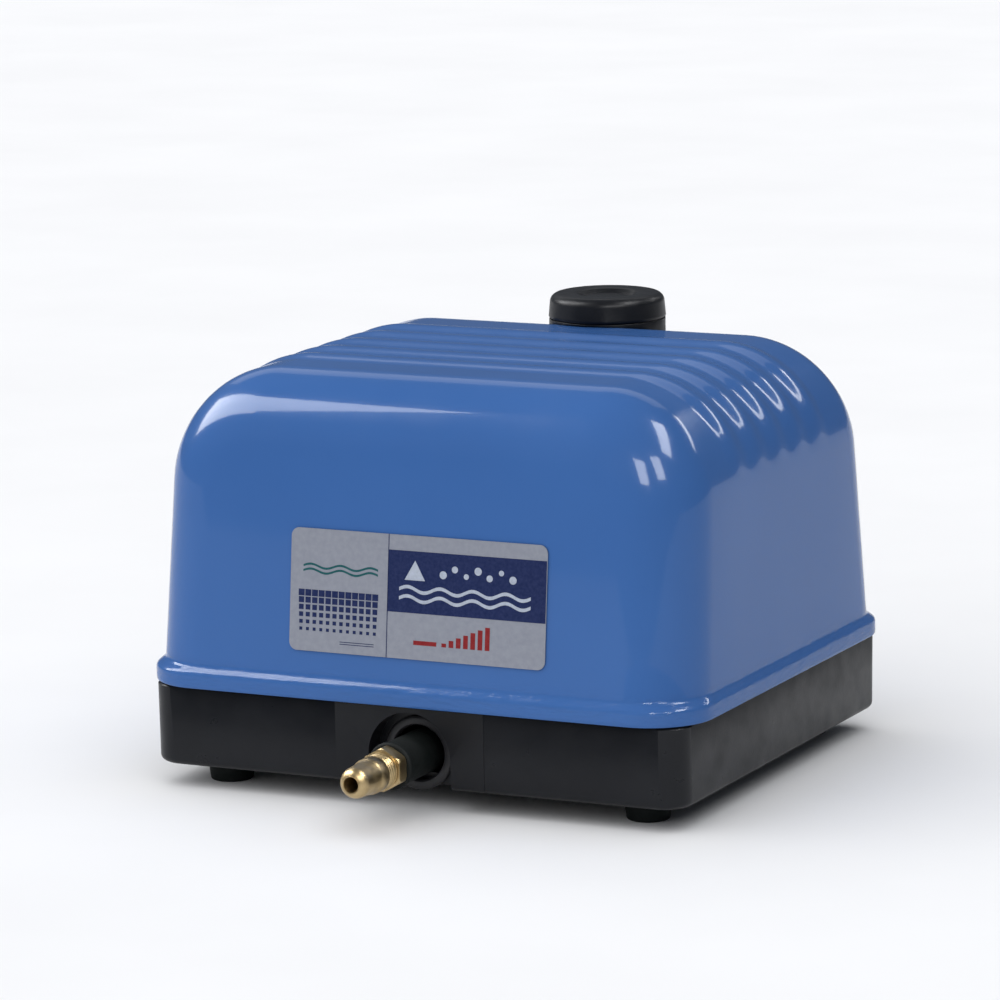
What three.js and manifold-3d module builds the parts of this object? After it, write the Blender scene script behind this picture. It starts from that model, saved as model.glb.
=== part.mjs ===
// Electromagnetic diaphragm air pump for ponds and large aquariums.
// A pressed-steel hood stands on a moulded tray. Inside, two coils drive a magnet bar
// from side to side, and the bar works a rubber diaphragm in a pump head at each end.
// Millimetres. X is the width, Y runs from front to back, Z is up from the floor.
import * as THREE from "three";
import { mergeVertices } from "three/addons/utils/BufferGeometryUtils.js";
import Module from "manifold-3d";

const wasm = await Module();
wasm.setup();

// ---- Driving dimensions ----
const GAP = 0.3; // clearance between pieces that touch
const ROUND = 16; // sides of a round piece
const SMALL_ROUND = 12; // sides of a small round piece
const FINE_ROUND = 24; // sides of a round piece that shows

const LIP = { width: 216, depth: 192.5, radius: 23, band: 6.5, step: 2.1 };
const FOOT = { height: 8.2, radius: 8.2, x: 82.3, y: 71.6, recess: 4.8, screwHead: 4.3 };
const TRAY = { height: 29.6, wall: 3, taper: 0.2, inset: 3.8, radius: 10, rim: 3.2, edge: 2.5 };
const SEAL = { radius: 16, low: 0.6, high: 3.4 };
const BOSS = { radius: 5.5, hole: 2.5 };
const HOOD = { top: 150, steel: 1, draftX: 0.028, draftY: 0.102, shoulder: 41, edge: 25 };
const RIB = { count: 5, pitch: 18.4, height: 1.1 };
const LABEL = { width: 99.6, height: 43.4, x: 3.9, z: 76.3, corner: 3, thick: 0.3 };
const CAP = { radius: 22, y: 79.5, clear: 1.2, height: 9, wall: 1.8 };
const SEAT = { radius: 21.9, step: 19.8, tube: 8, bore: 6, rise: 2.1, bottom: 127 };
const OUTLET = { z: 19.2, niche: 16, nicheDepth: 8.5, hole: 9.9, ring: 13.4, bore: 4.2, rise: 12.5 };
const SLEEVE = { collar: 8.5, length: 3, body: 8, hose: 6.6 };
const TAIL = { reach: 45.4, length: 29.4, hex: 14, hexLength: 5.5, barb: 6.5, bore: 2.7, stem: 5 };
const THREAD = { count: 3, pitch: 1.6, root: 5.6, crest: 6.4, gap: 1.2 };
const GLAND = { x: 60, z: 24, collar: 7.5, neck: 5.5, bore: 3.4, reach: 6 };
const TANK = { x: 62, y: 44, z: 20.3, height: 24, wall: 2.5, lid: 3, inlet: 10, mountX: 46, mountY: 32 };
const MOTOR = { z: 78, plate: 4, endX: 42, endThick: 5, halfY: 27, top: 104.5 };
const HEAD = { radius: 21, square: 26, chamber: 14.6, cover: 14.4, valve: 3, spigot: 7 };
const ARMATURE = { halfX: 38, halfY: 5, halfZ: 12, magnetIn: 8, magnetOut: 24, frame: 2 };
const CORE = { halfX: 30, leg: 12, outerLeg: 8, tip: 6, depth: 30, halfZ: 12 };
const FLAP = { width: 12, height: 16, thick: 0.9, y: 9.5 };
const SPIGOT = { radius: 3, bore: 1.6 };
const TERMINAL = { x: 60, y: 64, halfX: 14, halfY: 6, height: 11, pitch: 8 };

const TRAY_Z = FOOT.height;
const TRAY_FLOOR = TRAY_Z + TRAY.wall;
const LIP_Z = TRAY_Z + TRAY.height;
const WALL_Z = LIP_Z + LIP.band + 2.2;
const WALL_X = LIP.width / 2 - LIP.step;
const WALL_Y = LIP.depth / 2 - LIP.step;
const TRAY_FRONT = LIP.depth / 2 - TRAY.inset - TRAY.taper;
const NICHE_BACK = -TRAY_FRONT + OUTLET.nicheDepth;
const NICHE_WALL = 2.5;
const TAIL_TIP = -(TRAY_FRONT + TAIL.reach);
const CAP_LOW = HOOD.top + CAP.clear;
const SEAT_TOP = HOOD.top + SEAT.rise;

// ---- Materials ----
function paint(color, roughness, metalness = 0) {
  return new THREE.MeshStandardMaterial({ color, roughness, metalness });
}
const BLUE_ENAMEL = paint(0x3f74c4, 0.25);
const BLACK_PLASTIC = paint(0x1b1c1e, 0.4);
const BLACK_RUBBER = paint(0x17181a, 0.8);
const SILVER_FOIL = paint(0xc9ccd2, 0.35, 0.2);
const FOAM = paint(0x24262a, 1);
const BRASS = paint(0xb8944a, 0.3, 1);
const ZINC = paint(0xaeb2b8, 0.35, 1);
const DIE_CAST = paint(0xa4a8ac, 0.45, 1);
const CORE_STEEL = paint(0x70757c, 0.5, 1);
const COPPER = paint(0xb0602c, 0.35, 1);
const MAGNET = paint(0x3c3f44, 0.6, 0.6);
const WHITE_NYLON = paint(0xe6e3da, 0.5);
const GREY_PLASTIC = paint(0x5c6066, 0.5);
const CLEAR_RUBBER = paint(0xd8cdb4, 0.6);
const LEAD_PVC = paint(0x8a2a22, 0.5);

// ---- Making solids ----
const { lerp, smoothstep } = THREE.MathUtils;
const v2 = (x, y) => new THREE.Vector2(x, y);
const v3 = (x, y, z) => new THREE.Vector3(x, y, z);

// A closed geometry as a solid with its faces turned outwards.
function solid(geometry) {
  const bare = geometry.index ? geometry.toNonIndexed() : geometry.clone();
  bare.deleteAttribute("normal");
  bare.deleteAttribute("uv");
  const merged = mergeVertices(bare, 1e-3);
  const index = merged.index.array;
  const position = merged.attributes.position;
  const corner = (i) => new THREE.Vector3().fromBufferAttribute(position, i);
  const triangles = [];
  let volume = 0;
  for (let i = 0; i < index.length; i += 3) {
    const [a, b, c] = [index[i], index[i + 1], index[i + 2]];
    if (a === b || b === c || c === a) continue;
    triangles.push([a, b, c]);
    volume += corner(a).dot(corner(b).cross(corner(c)));
  }
  if (volume < 0) triangles.forEach((triangle) => triangle.reverse());
  const triVerts = new Uint32Array(triangles.flat());
  const vertProperties = position.array;
  return new wasm.Manifold(new wasm.Mesh({ numProp: 3, vertProperties, triVerts }));
}

const join = (first, ...others) => others.reduce((all, next) => all.add(next), first);
const cut = (first, ...others) => others.reduce((left, next) => left.subtract(next), first);

// One named piece of the pump.
function piece(name, body, material) {
  const made = body.getMesh();
  const geometry = new THREE.BufferGeometry();
  geometry.setAttribute("position", new THREE.BufferAttribute(made.vertProperties, 3));
  geometry.setIndex(new THREE.BufferAttribute(made.triVerts, 1));
  geometry.computeVertexNormals();
  const mesh = new THREE.Mesh(geometry, material);
  mesh.name = name;
  return mesh;
}

// A box between two values on each axis.
function box([x0, x1], [y0, y1], [z0, z1]) {
  const geometry = new THREE.BoxGeometry(x1 - x0, y1 - y0, z1 - z0);
  return solid(geometry.translate((x0 + x1) / 2, (y0 + y1) / 2, (z0 + z1) / 2));
}

// Turns a geometry made along +Y so that it lies along the named axis.
function along(axis, geometry) {
  if (axis === "x") return geometry.rotateZ(-Math.PI / 2);
  if (axis === "z") return geometry.rotateX(Math.PI / 2);
  return geometry;
}

// A round bar along an axis between two values, through the given centre point.
function bar(axis, from, to, radius, [x, y, z] = [0, 0, 0], sides = ROUND) {
  const geometry = new THREE.CylinderGeometry(radius, radius, to - from, sides);
  along(axis, geometry.translate(0, (from + to) / 2, 0));
  return solid(geometry.translate(x, y, z));
}

// A turned body: a closed outline of [radius, place along the axis] points.
function turned(axis, outline, [x, y, z] = [0, 0, 0], sides = ROUND) {
  const points = outline.map(([radius, place]) => v2(radius, place));
  const geometry = along(axis, new THREE.LatheGeometry([...points, points[0]], sides));
  return solid(geometry.translate(x, y, z));
}

// A flat outline in X and Y, raised from z0 to z1.
function slab(shape, z0, z1, curveSegments = 5) {
  const options = { depth: z1 - z0, bevelEnabled: false, curveSegments };
  return solid(new THREE.ExtrudeGeometry(shape, options).translate(0, 0, z0));
}

// An outline drawn in X and Z, run along Y from y0 to y1.
function runAlongY(shape, y0, y1, curveSegments = 5) {
  const options = { depth: y1 - y0, bevelEnabled: false, curveSegments };
  const geometry = new THREE.ExtrudeGeometry(shape, options).rotateX(Math.PI / 2);
  return solid(geometry.translate(0, y1, 0));
}

function shapeOf(points) {
  return new THREE.Shape(points.map(([x, y]) => v2(x, y)));
}

// A regular hexagon with the given width across its flats.
function hexagon(flats, x = 0, y = 0) {
  const radius = flats / Math.sqrt(3);
  const corners = [...Array(6).keys()].map((k) => {
    const angle = (k * Math.PI) / 3;
    return [x + radius * Math.cos(angle), y + radius * Math.sin(angle)];
  });
  return shapeOf(corners);
}

// A rectangle with round corners, centred on x and y.
function roundRect(width, height, radius, x = 0, y = 0) {
  const [w, h] = [width / 2, height / 2];
  const shape = new THREE.Shape();
  shape.moveTo(x - w + radius, y - h);
  shape.absarc(x + w - radius, y - h + radius, radius, -Math.PI / 2, 0);
  shape.absarc(x + w - radius, y + h - radius, radius, 0, Math.PI / 2);
  shape.absarc(x - w + radius, y + h - radius, radius, Math.PI / 2, Math.PI);
  shape.absarc(x - w + radius, y - h + radius, radius, Math.PI, 1.5 * Math.PI);
  return shape;
}

// A hose or lead along points, solid right through.
function rodAlong(points, radius, steps, sides) {
  const path = new THREE.CatmullRomCurve3(points.map((point) => v3(...point)));
  const ring = [...Array(sides).keys()].map((k) => {
    const angle = (2 * Math.PI * k) / sides;
    return [radius * Math.cos(angle), radius * Math.sin(angle)];
  });
  const options = { extrudePath: path, steps, bevelEnabled: false };
  return solid(new THREE.ExtrudeGeometry(shapeOf(ring), options));
}

// Points of a round-cornered rectangle at height z, its sides inset from the lip's outline.
function ringAt(inset, z, radius, steps = 5) {
  const [x, y] = [LIP.width / 2 - inset, LIP.depth / 2 - inset];
  const corners = [[1, 1, 0], [-1, 1, 1], [-1, -1, 2], [1, -1, 3]];
  return corners.flatMap(([sx, sy, quarter]) =>
    [...Array(steps + 1).keys()].map((k) => {
      const angle = ((quarter + k / steps) * Math.PI) / 2;
      const px = sx * (x - radius) + radius * Math.cos(angle);
      return [px, sy * (y - radius) + radius * Math.sin(angle), z];
    }),
  );
}

// A closed skin over rings of equal point counts, from the lowest ring to the highest.
function skin(rings) {
  const count = rings[0].length;
  const index = [];
  const at = (ring, k) => ring * count + (k % count);
  for (let ring = 0; ring + 1 < rings.length; ring += 1) {
    for (let k = 0; k < count; k += 1) {
      index.push(at(ring, k), at(ring, k + 1), at(ring + 1, k + 1));
      index.push(at(ring, k), at(ring + 1, k + 1), at(ring + 1, k));
    }
  }
  const last = rings.length - 1;
  for (let k = 1; k + 1 < count; k += 1) {
    index.push(at(0, 0), at(0, k + 1), at(0, k));
    index.push(at(last, 0), at(last, k), at(last, k + 1));
  }
  const geometry = new THREE.BufferGeometry();
  geometry.setAttribute("position", new THREE.Float32BufferAttribute(rings.flat(2), 3));
  geometry.setIndex(index);
  return solid(geometry);
}

// ---- Hood ----
// The hood is a box-like pressing: flat drafted walls, wide round shoulders left and right,
// and one round edge all round its front and back faces. Ribs cross the top and shoulders.
const ARC_STEPS = 6;
const EDGE_STEPS = 4;
const EDGE_COLUMNS = [...Array(EDGE_STEPS + 1).keys()].map((k) => (k / EDGE_STEPS) * (Math.PI / 2));
const RIB_COLUMNS = [...Array(2 * RIB.count + 1).keys()].map((k) => ((k - RIB.count) * RIB.pitch) / 2);

// How far the ribs raise the surface at a place y: each rib is one cosine wave.
function ribHeight(y) {
  const inside = Math.abs(y) < (RIB.count * RIB.pitch) / 2;
  return inside ? (RIB.height * (1 + Math.cos((2 * Math.PI * y) / RIB.pitch))) / 2 : 0;
}

// Half of the hood's outline in X and Z, right side, from the wall's foot to the top's edge.
// Each point has its place and the outward direction there. `thick` moves it inwards.
function halfOutline(thick, inset) {
  const lean = Math.atan(HOOD.draftX);
  const radius = HOOD.shoulder - thick;
  const centreZ = HOOD.top - HOOD.shoulder;
  const wallX = (z) => WALL_X - HOOD.draftX * (z - WALL_Z) - (thick + inset) / Math.cos(lean);
  const tangentZ = centreZ + (radius - inset) * Math.sin(lean);
  const centreX = wallX(tangentZ) - (radius - inset) * Math.cos(lean);
  const points = [0, 0.5].map((share) => {
    const z = lerp(WALL_Z, tangentZ, share);
    return { x: wallX(z), z, angle: lean };
  });
  for (let k = 0; k <= ARC_STEPS; k += 1) {
    const angle = lerp(lean, Math.PI / 2, k / ARC_STEPS);
    const reach = radius - inset;
    points.push({ x: centreX + reach * Math.cos(angle), z: centreZ + reach * Math.sin(angle), angle });
  }
  return points;
}

// The whole outline, from the left wall's foot over the top to the right wall's foot.
function fullOutline(thick, inset) {
  const right = halfOutline(thick, inset);
  const left = right.map(({ x, z, angle }) => ({ x: -x, z, angle: Math.PI - angle }));
  return [...left, ...right.reverse()];
}

// Columns of the hood's surface from front to back: round front edge, flat with ribs, back edge.
function hoodColumns(thick) {
  const radius = HOOD.edge - thick;
  const inset = (phi) => radius * (1 - Math.sin(phi));
  const deep = (phi) => radius * (1 - Math.cos(phi));
  const wall = (z) => WALL_Y - thick - HOOD.draftY * (z - WALL_Z);
  const front = EDGE_COLUMNS.map((phi) => ({ phi, inset: inset(phi), y: (z) => deep(phi) - wall(z) }));
  const middle = RIB_COLUMNS.map((y) => ({ inset: 0, rib: ribHeight(y), flat: y, y: () => y }));
  const back = [...EDGE_COLUMNS].reverse().map((phi) => ({
    phi,
    inset: inset(phi),
    back: true,
    y: (z) => wall(z) - deep(phi),
  }));
  return [...front, ...middle, ...back];
}

// A grid of points over the hood, `thick` below its outer face.
function hoodGrid(thick) {
  return hoodColumns(thick).map((column) =>
    fullOutline(thick, column.inset).map(({ x, z, angle }) => {
      const fade = smoothstep(Math.sin(angle), 0.15, 0.75);
      const rise = (column.rib ?? 0) * fade;
      return [x + rise * Math.cos(angle), column.y(z), z + rise * Math.sin(angle)];
    }),
  );
}

// The point of the lip's outline that belongs to a column on the left (-1) or right (+1) side.
function lipPoint(column, side, thick, z) {
  const radius = LIP.radius - thick;
  const [x, y] = [LIP.width / 2 - thick, LIP.depth / 2 - thick];
  if (column.flat !== undefined) return [side * x, column.flat, z];
  const px = x - radius * (1 - Math.sin(column.phi));
  const py = y - radius * (1 - Math.cos(column.phi));
  return [side * px, column.back ? py : -py, z];
}

// Rings from the lip's bottom edge up to the foot of the walls: [share of the way in, height].
const OUTER_LIP = [[0, LIP_Z], [0, LIP_Z + 5.4], [0.15, LIP_Z + 6.3], [0.75, LIP_Z + 7]];
const INNER_LIP = [[0, LIP_Z], [0, LIP_Z + 4.6], [0.3, LIP_Z + 5.4], [0.8, LIP_Z + 6]];

// All the triangles of one face of the hood: its grid, its two flat ends and its lip.
function hoodFace(vertices, thick, lip, reversed) {
  const index = [];
  const grid = hoodGrid(thick);
  const columns = hoodColumns(thick);
  const [width, height] = [grid.length, grid[0].length];
  const start = vertices.length;
  grid.forEach((column) => vertices.push(...column));
  const at = (column, row) => start + column * height + row;
  const quad = (a, b, c, d) => index.push([a, b, c], [a, c, d]);
  for (let c = 0; c + 1 < width; c += 1) {
    for (let r = 0; r + 1 < height; r += 1) {
      quad(at(c, r), at(c, r + 1), at(c + 1, r + 1), at(c + 1, r));
    }
  }
  for (let r = 0; 2 * r < height - 2; r += 1) {
    const [low, high] = [height - 1 - r, height - 2 - r];
    quad(at(0, r), at(0, low), at(0, high), at(0, r + 1));
    quad(at(width - 1, r), at(width - 1, r + 1), at(width - 1, high), at(width - 1, low));
  }
  const around = [...Array(width).keys()].map((c) => ({ side: -1, c, row: 0 }));
  around.push(...[...Array(width).keys()].reverse().map((c) => ({ side: 1, c, row: height - 1 })));
  let above = around.map(({ c, row }) => at(c, row));
  for (const [share, z] of [...lip].reverse()) {
    const ring = around.map(({ side, c, row }) => {
      const [x, y] = lipPoint(columns[c], side, thick, z);
      const foot = grid[c][row];
      vertices.push([lerp(x, foot[0], share), lerp(y, foot[1], share), z]);
      return vertices.length - 1;
    });
    ring.forEach((point, k) => {
      const next = (k + 1) % ring.length;
      quad(above[k], above[next], ring[next], point);
    });
    above = ring;
  }
  return { index: reversed ? index.map(([a, b, c]) => [a, c, b]) : index, ring: above };
}

// The hood's steel shell.
function hoodShell() {
  const vertices = [];
  const outer = hoodFace(vertices, 0, OUTER_LIP, false);
  const inner = hoodFace(vertices, HOOD.steel, INNER_LIP, true);
  const rim = outer.ring.flatMap((point, k) => {
    const next = (k + 1) % outer.ring.length;
    const [a, b, c, d] = [point, outer.ring[next], inner.ring[next], inner.ring[k]];
    return [[a, b, c], [a, c, d]];
  });
  const geometry = new THREE.BufferGeometry();
  geometry.setAttribute("position", new THREE.Float32BufferAttribute(vertices.flat(), 3));
  geometry.setIndex([...outer.index, ...inner.index, ...rim].flat());
  return solid(geometry);
}

// The space the hood's outer face takes, grown by a clearance, for pieces that lie against it.
function hoodBlock(grow) {
  const vertices = [];
  const outer = hoodFace(vertices, -grow, OUTER_LIP, false);
  const floor = [];
  for (let k = 1; k + 1 < outer.ring.length; k += 1) {
    floor.push([outer.ring[0], outer.ring[k], outer.ring[k + 1]]);
  }
  const geometry = new THREE.BufferGeometry();
  geometry.setAttribute("position", new THREE.Float32BufferAttribute(vertices.flat(), 3));
  geometry.setIndex([...outer.index, ...floor].flat());
  return solid(geometry);
}

function makeHood() {
  const hole = bar("z", SEAT.bottom - 20, SEAT_TOP, SEAT.tube + GAP, [0, CAP.y, 0]);
  return piece("hood", hoodShell().subtract(hole), BLUE_ENAMEL);
}

// Steel corner brackets inside the hood, each with a weld nut for a foot screw. A tongue towards
// the middle of the side wall, on the `toward` side, is welded to the hood.
function bracketBody(toward) {
  const z = WALL_Z + 1;
  const sheet = 1.5;
  const out = WALL_X - HOOD.steel - 0.8 - FOOT.x;
  const angle = [
    [-2, z], [out, z], [out, z + 11], [out - sheet, z + 11], [out - sheet, z + sheet], [-2, z + sheet],
  ];
  const tongue = runAlongY(shapeOf(angle), toward > 0 ? 6 : -24, toward > 0 ? 24 : -6);
  const plate = box([-12, 16], [-9, 9], [z, z + sheet]);
  const nut = slab(hexagon(8), z + 1, z + 5);
  return cut(join(plate, tongue, nut), bar("z", z - 1, z + 6, BOSS.hole, [0, 0, 0], SMALL_ROUND));
}

function makeBrackets() {
  return corners().map(({ name, x, y }) => {
    const turned = x < 0;
    const bracket = piece(`hood_bracket_${name}`, bracketBody(turned === y > 0 ? 1 : -1), ZINC);
    bracket.position.set(x, y, 0);
    if (turned) bracket.rotation.z = Math.PI;
    return bracket;
  });
}

// Four named corners: those with a foot, a screw and a bracket, unless others are asked for.
function corners(x = FOOT.x, y = FOOT.y) {
  return [
    { name: "front_left", x: -x, y: -y },
    { name: "front_right", x, y: -y },
    { name: "rear_left", x: -x, y },
    { name: "rear_right", x, y },
  ];
}

// A rubber strip bonded inside the hood's lip, which seals on the outside of the tray's rim.
function makeGasket() {
  const [outer, inner] = [HOOD.steel + 2 * GAP, TRAY.inset - GAP];
  const [low, high] = [LIP_Z + SEAL.low, LIP_Z + SEAL.high];
  const [outerRadius, innerRadius] = [LIP.radius - outer, SEAL.radius + GAP];
  const strip = skin([ringAt(outer, low, outerRadius), ringAt(outer, high, outerRadius)]);
  const hole = skin([ringAt(inner, low - 1, innerRadius), ringAt(inner, high + 1, innerRadius)]);
  return piece("hood_gasket", strip.subtract(hole), BLACK_RUBBER);
}

// ---- Label on the front wall ----
function makeLabel() {
  const outline = roundRect(LABEL.width, LABEL.height, LABEL.corner);
  const label = piece("front_label", slab(outline, 0, LABEL.thick, 4), SILVER_FOIL);
  const wallY = -(WALL_Y - HOOD.draftY * (LABEL.z - WALL_Z));
  label.rotation.x = Math.PI / 2 - Math.atan(HOOD.draftY);
  label.position.set(LABEL.x, wallY - GAP, LABEL.z);
  return label;
}

// ---- Air filter on the hood's top rear edge ----
function makeFilter() {
  const saddle = bar("z", SEAT.bottom, CAP_LOW - GAP, SEAT.radius, [0, CAP.y, 0], FINE_ROUND);
  const step = bar("z", SEAT.bottom, SEAT_TOP, SEAT.step, [0, CAP.y, 0], FINE_ROUND);
  const tube = bar("z", SEAT.bottom, SEAT_TOP, SEAT.tube, [0, CAP.y, 0]);
  const bore = bar("z", SEAT.bottom - 1, SEAT_TOP + 1, SEAT.bore, [0, CAP.y, 0]);
  const seat = cut(join(cut(join(saddle, step), hoodBlock(GAP)), tube), bore);
  const sponge = bar("z", SEAT_TOP + GAP, SEAT_TOP + 3.6, SEAT.step - 1, [0, CAP.y, 0]);
  const [r, low, high, wall] = [CAP.radius, CAP_LOW, CAP_LOW + CAP.height, CAP.wall];
  const outline = [
    [0, high - 1.1], [6, high - 1.3], [7, high - 2.2], [9, high - 2.2], [10.8, high - 0.5],
    [r - 5, high], [r - 2, high - 0.9], [r - 0.6, high - 2.8], [r, low],
    [r - wall, low], [r - wall, high - 3.9], [0, high - 3.9],
  ];
  return [
    piece("filter_seat", seat, BLACK_PLASTIC),
    piece("filter_sponge", sponge, FOAM),
    piece("filter_cap", turned("z", outline, [0, CAP.y, 0], FINE_ROUND), BLACK_PLASTIC),
  ];
}

// ---- Tray with feet and screws ----
// The niche in the tray's front wall: an arch that is open at the bottom.
function arch(radius) {
  const shape = new THREE.Shape();
  shape.moveTo(-radius, -30);
  shape.lineTo(radius, -30);
  shape.lineTo(radius, 0);
  shape.absarc(0, 0, radius, 0, Math.PI);
  return shape;
}

// The tray's outside. Its wall ends in a step under the lip, and a rim goes on up inside the lip.
function trayOutside() {
  const foot = TRAY.inset + TRAY.taper;
  return skin([
    ringAt(foot + TRAY.edge, TRAY_Z, TRAY.radius - TRAY.edge + 1),
    ringAt(foot + TRAY.edge * 0.3, TRAY_Z + TRAY.edge * 0.3, TRAY.radius - 0.3),
    ringAt(foot, TRAY_Z + TRAY.edge, TRAY.radius),
    ringAt(TRAY.inset, LIP_Z - SEAL.low, TRAY.radius),
    ringAt(TRAY.inset, LIP_Z - GAP, SEAL.radius),
    ringAt(TRAY.inset, LIP_Z + TRAY.rim, SEAL.radius),
  ]);
}

function trayInside() {
  const foot = TRAY.inset + TRAY.taper + TRAY.wall;
  return skin([
    ringAt(foot + 1.5, TRAY_FLOOR, TRAY.radius - TRAY.wall),
    ringAt(foot, TRAY_FLOOR + 2, TRAY.radius - TRAY.wall),
    ringAt(TRAY.inset + TRAY.wall, LIP_Z - 2 * SEAL.high, TRAY.radius - TRAY.wall),
    ringAt(TRAY.inset + TRAY.wall, LIP_Z - SEAL.low, SEAL.radius - TRAY.wall),
    ringAt(TRAY.inset + TRAY.wall, LIP_Z + TRAY.rim + 1, SEAL.radius - TRAY.wall),
  ]);
}

function makeTray() {
  const outside = trayOutside();
  const nicheShape = (radius, y1) =>
    runAlongY(arch(radius), -LIP.depth / 2, y1, 8).translate([0, 0, OUTLET.z]);
  const nicheShell = nicheShape(OUTLET.niche + NICHE_WALL, NICHE_BACK + NICHE_WALL).intersect(outside);
  const niche = nicheShape(OUTLET.niche, NICHE_BACK);
  const tubeHole = bar("y", NICHE_BACK - 1, NICHE_BACK + 4, OUTLET.hole, [0, 0, OUTLET.z]);
  const bossTop = WALL_Z + 1 - GAP;
  const upright = (radius, low, high) =>
    corners().map(({ x, y }) => bar("z", low, high, radius, [x, y, 0], SMALL_ROUND));
  const bosses = upright(BOSS.radius, TRAY_Z + 1, bossTop);
  const holes = upright(BOSS.hole, 0, bossTop + 1);
  const glandAt = [GLAND.x, 0, GLAND.z];
  const glandHole = bar("y", TRAY_FRONT - 12, LIP.depth / 2, GLAND.neck + GAP, glandAt, SMALL_ROUND);
  const shell = join(outside.subtract(trayInside()), nicheShell, ...bosses);
  return piece("base_tray", cut(shell, niche, tubeHole, glandHole, ...holes), BLACK_PLASTIC);
}

function makeFeet() {
  const top = FOOT.height - GAP;
  const seat = FOOT.screwHead + GAP;
  const outline = [
    [BOSS.hole, seat], [FOOT.recess, seat], [FOOT.recess, 0], [FOOT.radius - 0.9, 0],
    [FOOT.radius - 0.4, 0.8], [FOOT.radius, top], [BOSS.hole, top],
  ];
  const rubber = turned("z", outline);
  const screw = join(
    bar("z", 1.4, FOOT.screwHead, 4.2, [0, 0, 0], SMALL_ROUND),
    bar("z", FOOT.screwHead - 0.1, WALL_Z + 6.5, BOSS.hole - 0.4, [0, 0, 0], 10),
  ).subtract(slab(roundRect(1.2, 7, 0.3), 0, 2.4, 1));
  return corners().flatMap(({ name, x, y }) => {
    const foot = piece(`foot_${name}`, rubber, BLACK_RUBBER);
    const bolt = piece(`hood_screw_${name}`, screw, ZINC);
    foot.position.set(x, y, 0);
    bolt.position.set(x, y, 0);
    return [foot, bolt];
  });
}

// ---- Outlet: rubber sleeve, sealing ring and brass hose tail ----
function makeOutlet() {
  const { hole, ring, bore, z, rise } = OUTLET;
  const { collar, length, body, hose } = SLEEVE;
  const face = TAIL_TIP + TAIL.length;
  const wallFace = NICHE_BACK - GAP;
  const inner = NICHE_BACK + NICHE_WALL + GAP;
  const sleeveOutline = [
    [0, face], [collar - 0.6, face], [collar, face + 0.8], [collar, face + length - 0.6],
    [body, face + length], [body, inner + 3], [0, inner + 3],
  ];
  const tankFace = -TANK.y - 1;
  const bendPoints = [
    [0, inner + 1, z], [0, inner + 7, z + 0.4], [0, inner + 15, z + 4.5],
    [0, inner + 22, z + 10], [0, inner + 30, z + rise], [0, tankFace - GAP, z + rise],
  ];
  const sleeveBody = turned("y", sleeveOutline, [0, 0, z], FINE_ROUND);
  const bend = rodAlong(bendPoints, hose, 8, 12);
  const borePoints = [[0, inner - 1, z], ...bendPoints.slice(1, -1), [0, tankFace + 2, z + rise]];
  const boreBend = rodAlong(borePoints, bore, 8, 10);
  const boreFront = bar("y", face - 1, inner, TAIL.stem + GAP, [0, 0, z]);
  const ringOutline = [
    [hole, wallFace], [ring, wallFace], [ring, wallFace - 0.8], [ring - 0.6, wallFace - 1.4],
    [hole + 0.6, wallFace - 1.4], [hole, wallFace - 0.8],
  ];
  return [
    piece("outlet_hose", cut(join(sleeveBody, bend), boreBend, boreFront), BLACK_RUBBER),
    piece("outlet_ring", turned("y", ringOutline, [0, 0, z], FINE_ROUND), BLACK_PLASTIC),
    piece("hose_tail", hoseTail(face), BRASS),
  ];
}

// The brass tail: a stem in the sleeve, a hexagon for a spanner, rings and a rounded barb.
function hoseTail(sleeveFace) {
  const { barb, bore, stem, hexLength } = TAIL;
  const { count, pitch, root, crest, gap } = THREAD;
  const back = sleeveFace - GAP;
  const hexFront = back - hexLength;
  const rings = [];
  for (let ring = 0; ring < count; ring += 1) {
    const start = hexFront - gap - ring * pitch;
    rings.push([root, start], [crest, start - 0.4], [crest, start - 0.9], [root, start - 1.3]);
  }
  const shoulder = hexFront - gap - count * pitch;
  const outline = [
    [bore, sleeveFace + 11], [stem - 0.5, sleeveFace + 11], [stem, sleeveFace + 10.4],
    [stem, hexFront + 1], [barb, hexFront + 1], [barb, hexFront - gap], ...rings, [root, shoulder], [barb, shoulder - 0.5],
    [barb, shoulder - 5], [barb - 0.4, shoulder - 5.4], [barb - 0.4, TAIL_TIP + 6],
    [barb - 0.8, TAIL_TIP + 3.2], [barb - 1.3, TAIL_TIP + 1.5], [barb - 2, TAIL_TIP + 0.5],
    [barb - 3, TAIL_TIP], [bore, TAIL_TIP],
  ];
  const flat = TAIL.hex / 2;
  const rounded = [
    [bore, back], [flat + 0.4, back], [flat + 0.9, back - 0.7],
    [flat + 0.9, hexFront + 0.7], [flat + 0.4, hexFront], [bore, hexFront],
  ];
  const nut = runAlongY(hexagon(TAIL.hex), hexFront, back).rotate([0, 30, 0]);
  const hex = nut.intersect(turned("y", rounded, [0, 0, 0], FINE_ROUND));
  return join(turned("y", outline), hex).translate([0, 0, OUTLET.z]);
}

// ---- Cable gland in the tray's rear wall ----
function makeGland() {
  const wall = TRAY_FRONT;
  const { collar, neck, bore } = GLAND;
  const outline = [
    [bore, wall - 7], [neck + 2, wall - 7], [neck + 2, wall - 4.8], [neck, wall - 4.8],
    [neck, wall + 2.4], [collar, wall + 2.4], [collar, wall + 3.8],
    [collar - 1.8, wall + GLAND.reach], [bore, wall + GLAND.reach],
  ];
  const gland = turned("y", outline, [GLAND.x, 0, GLAND.z], SMALL_ROUND);
  return piece("cable_gland", gland, BLACK_RUBBER);
}

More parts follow.
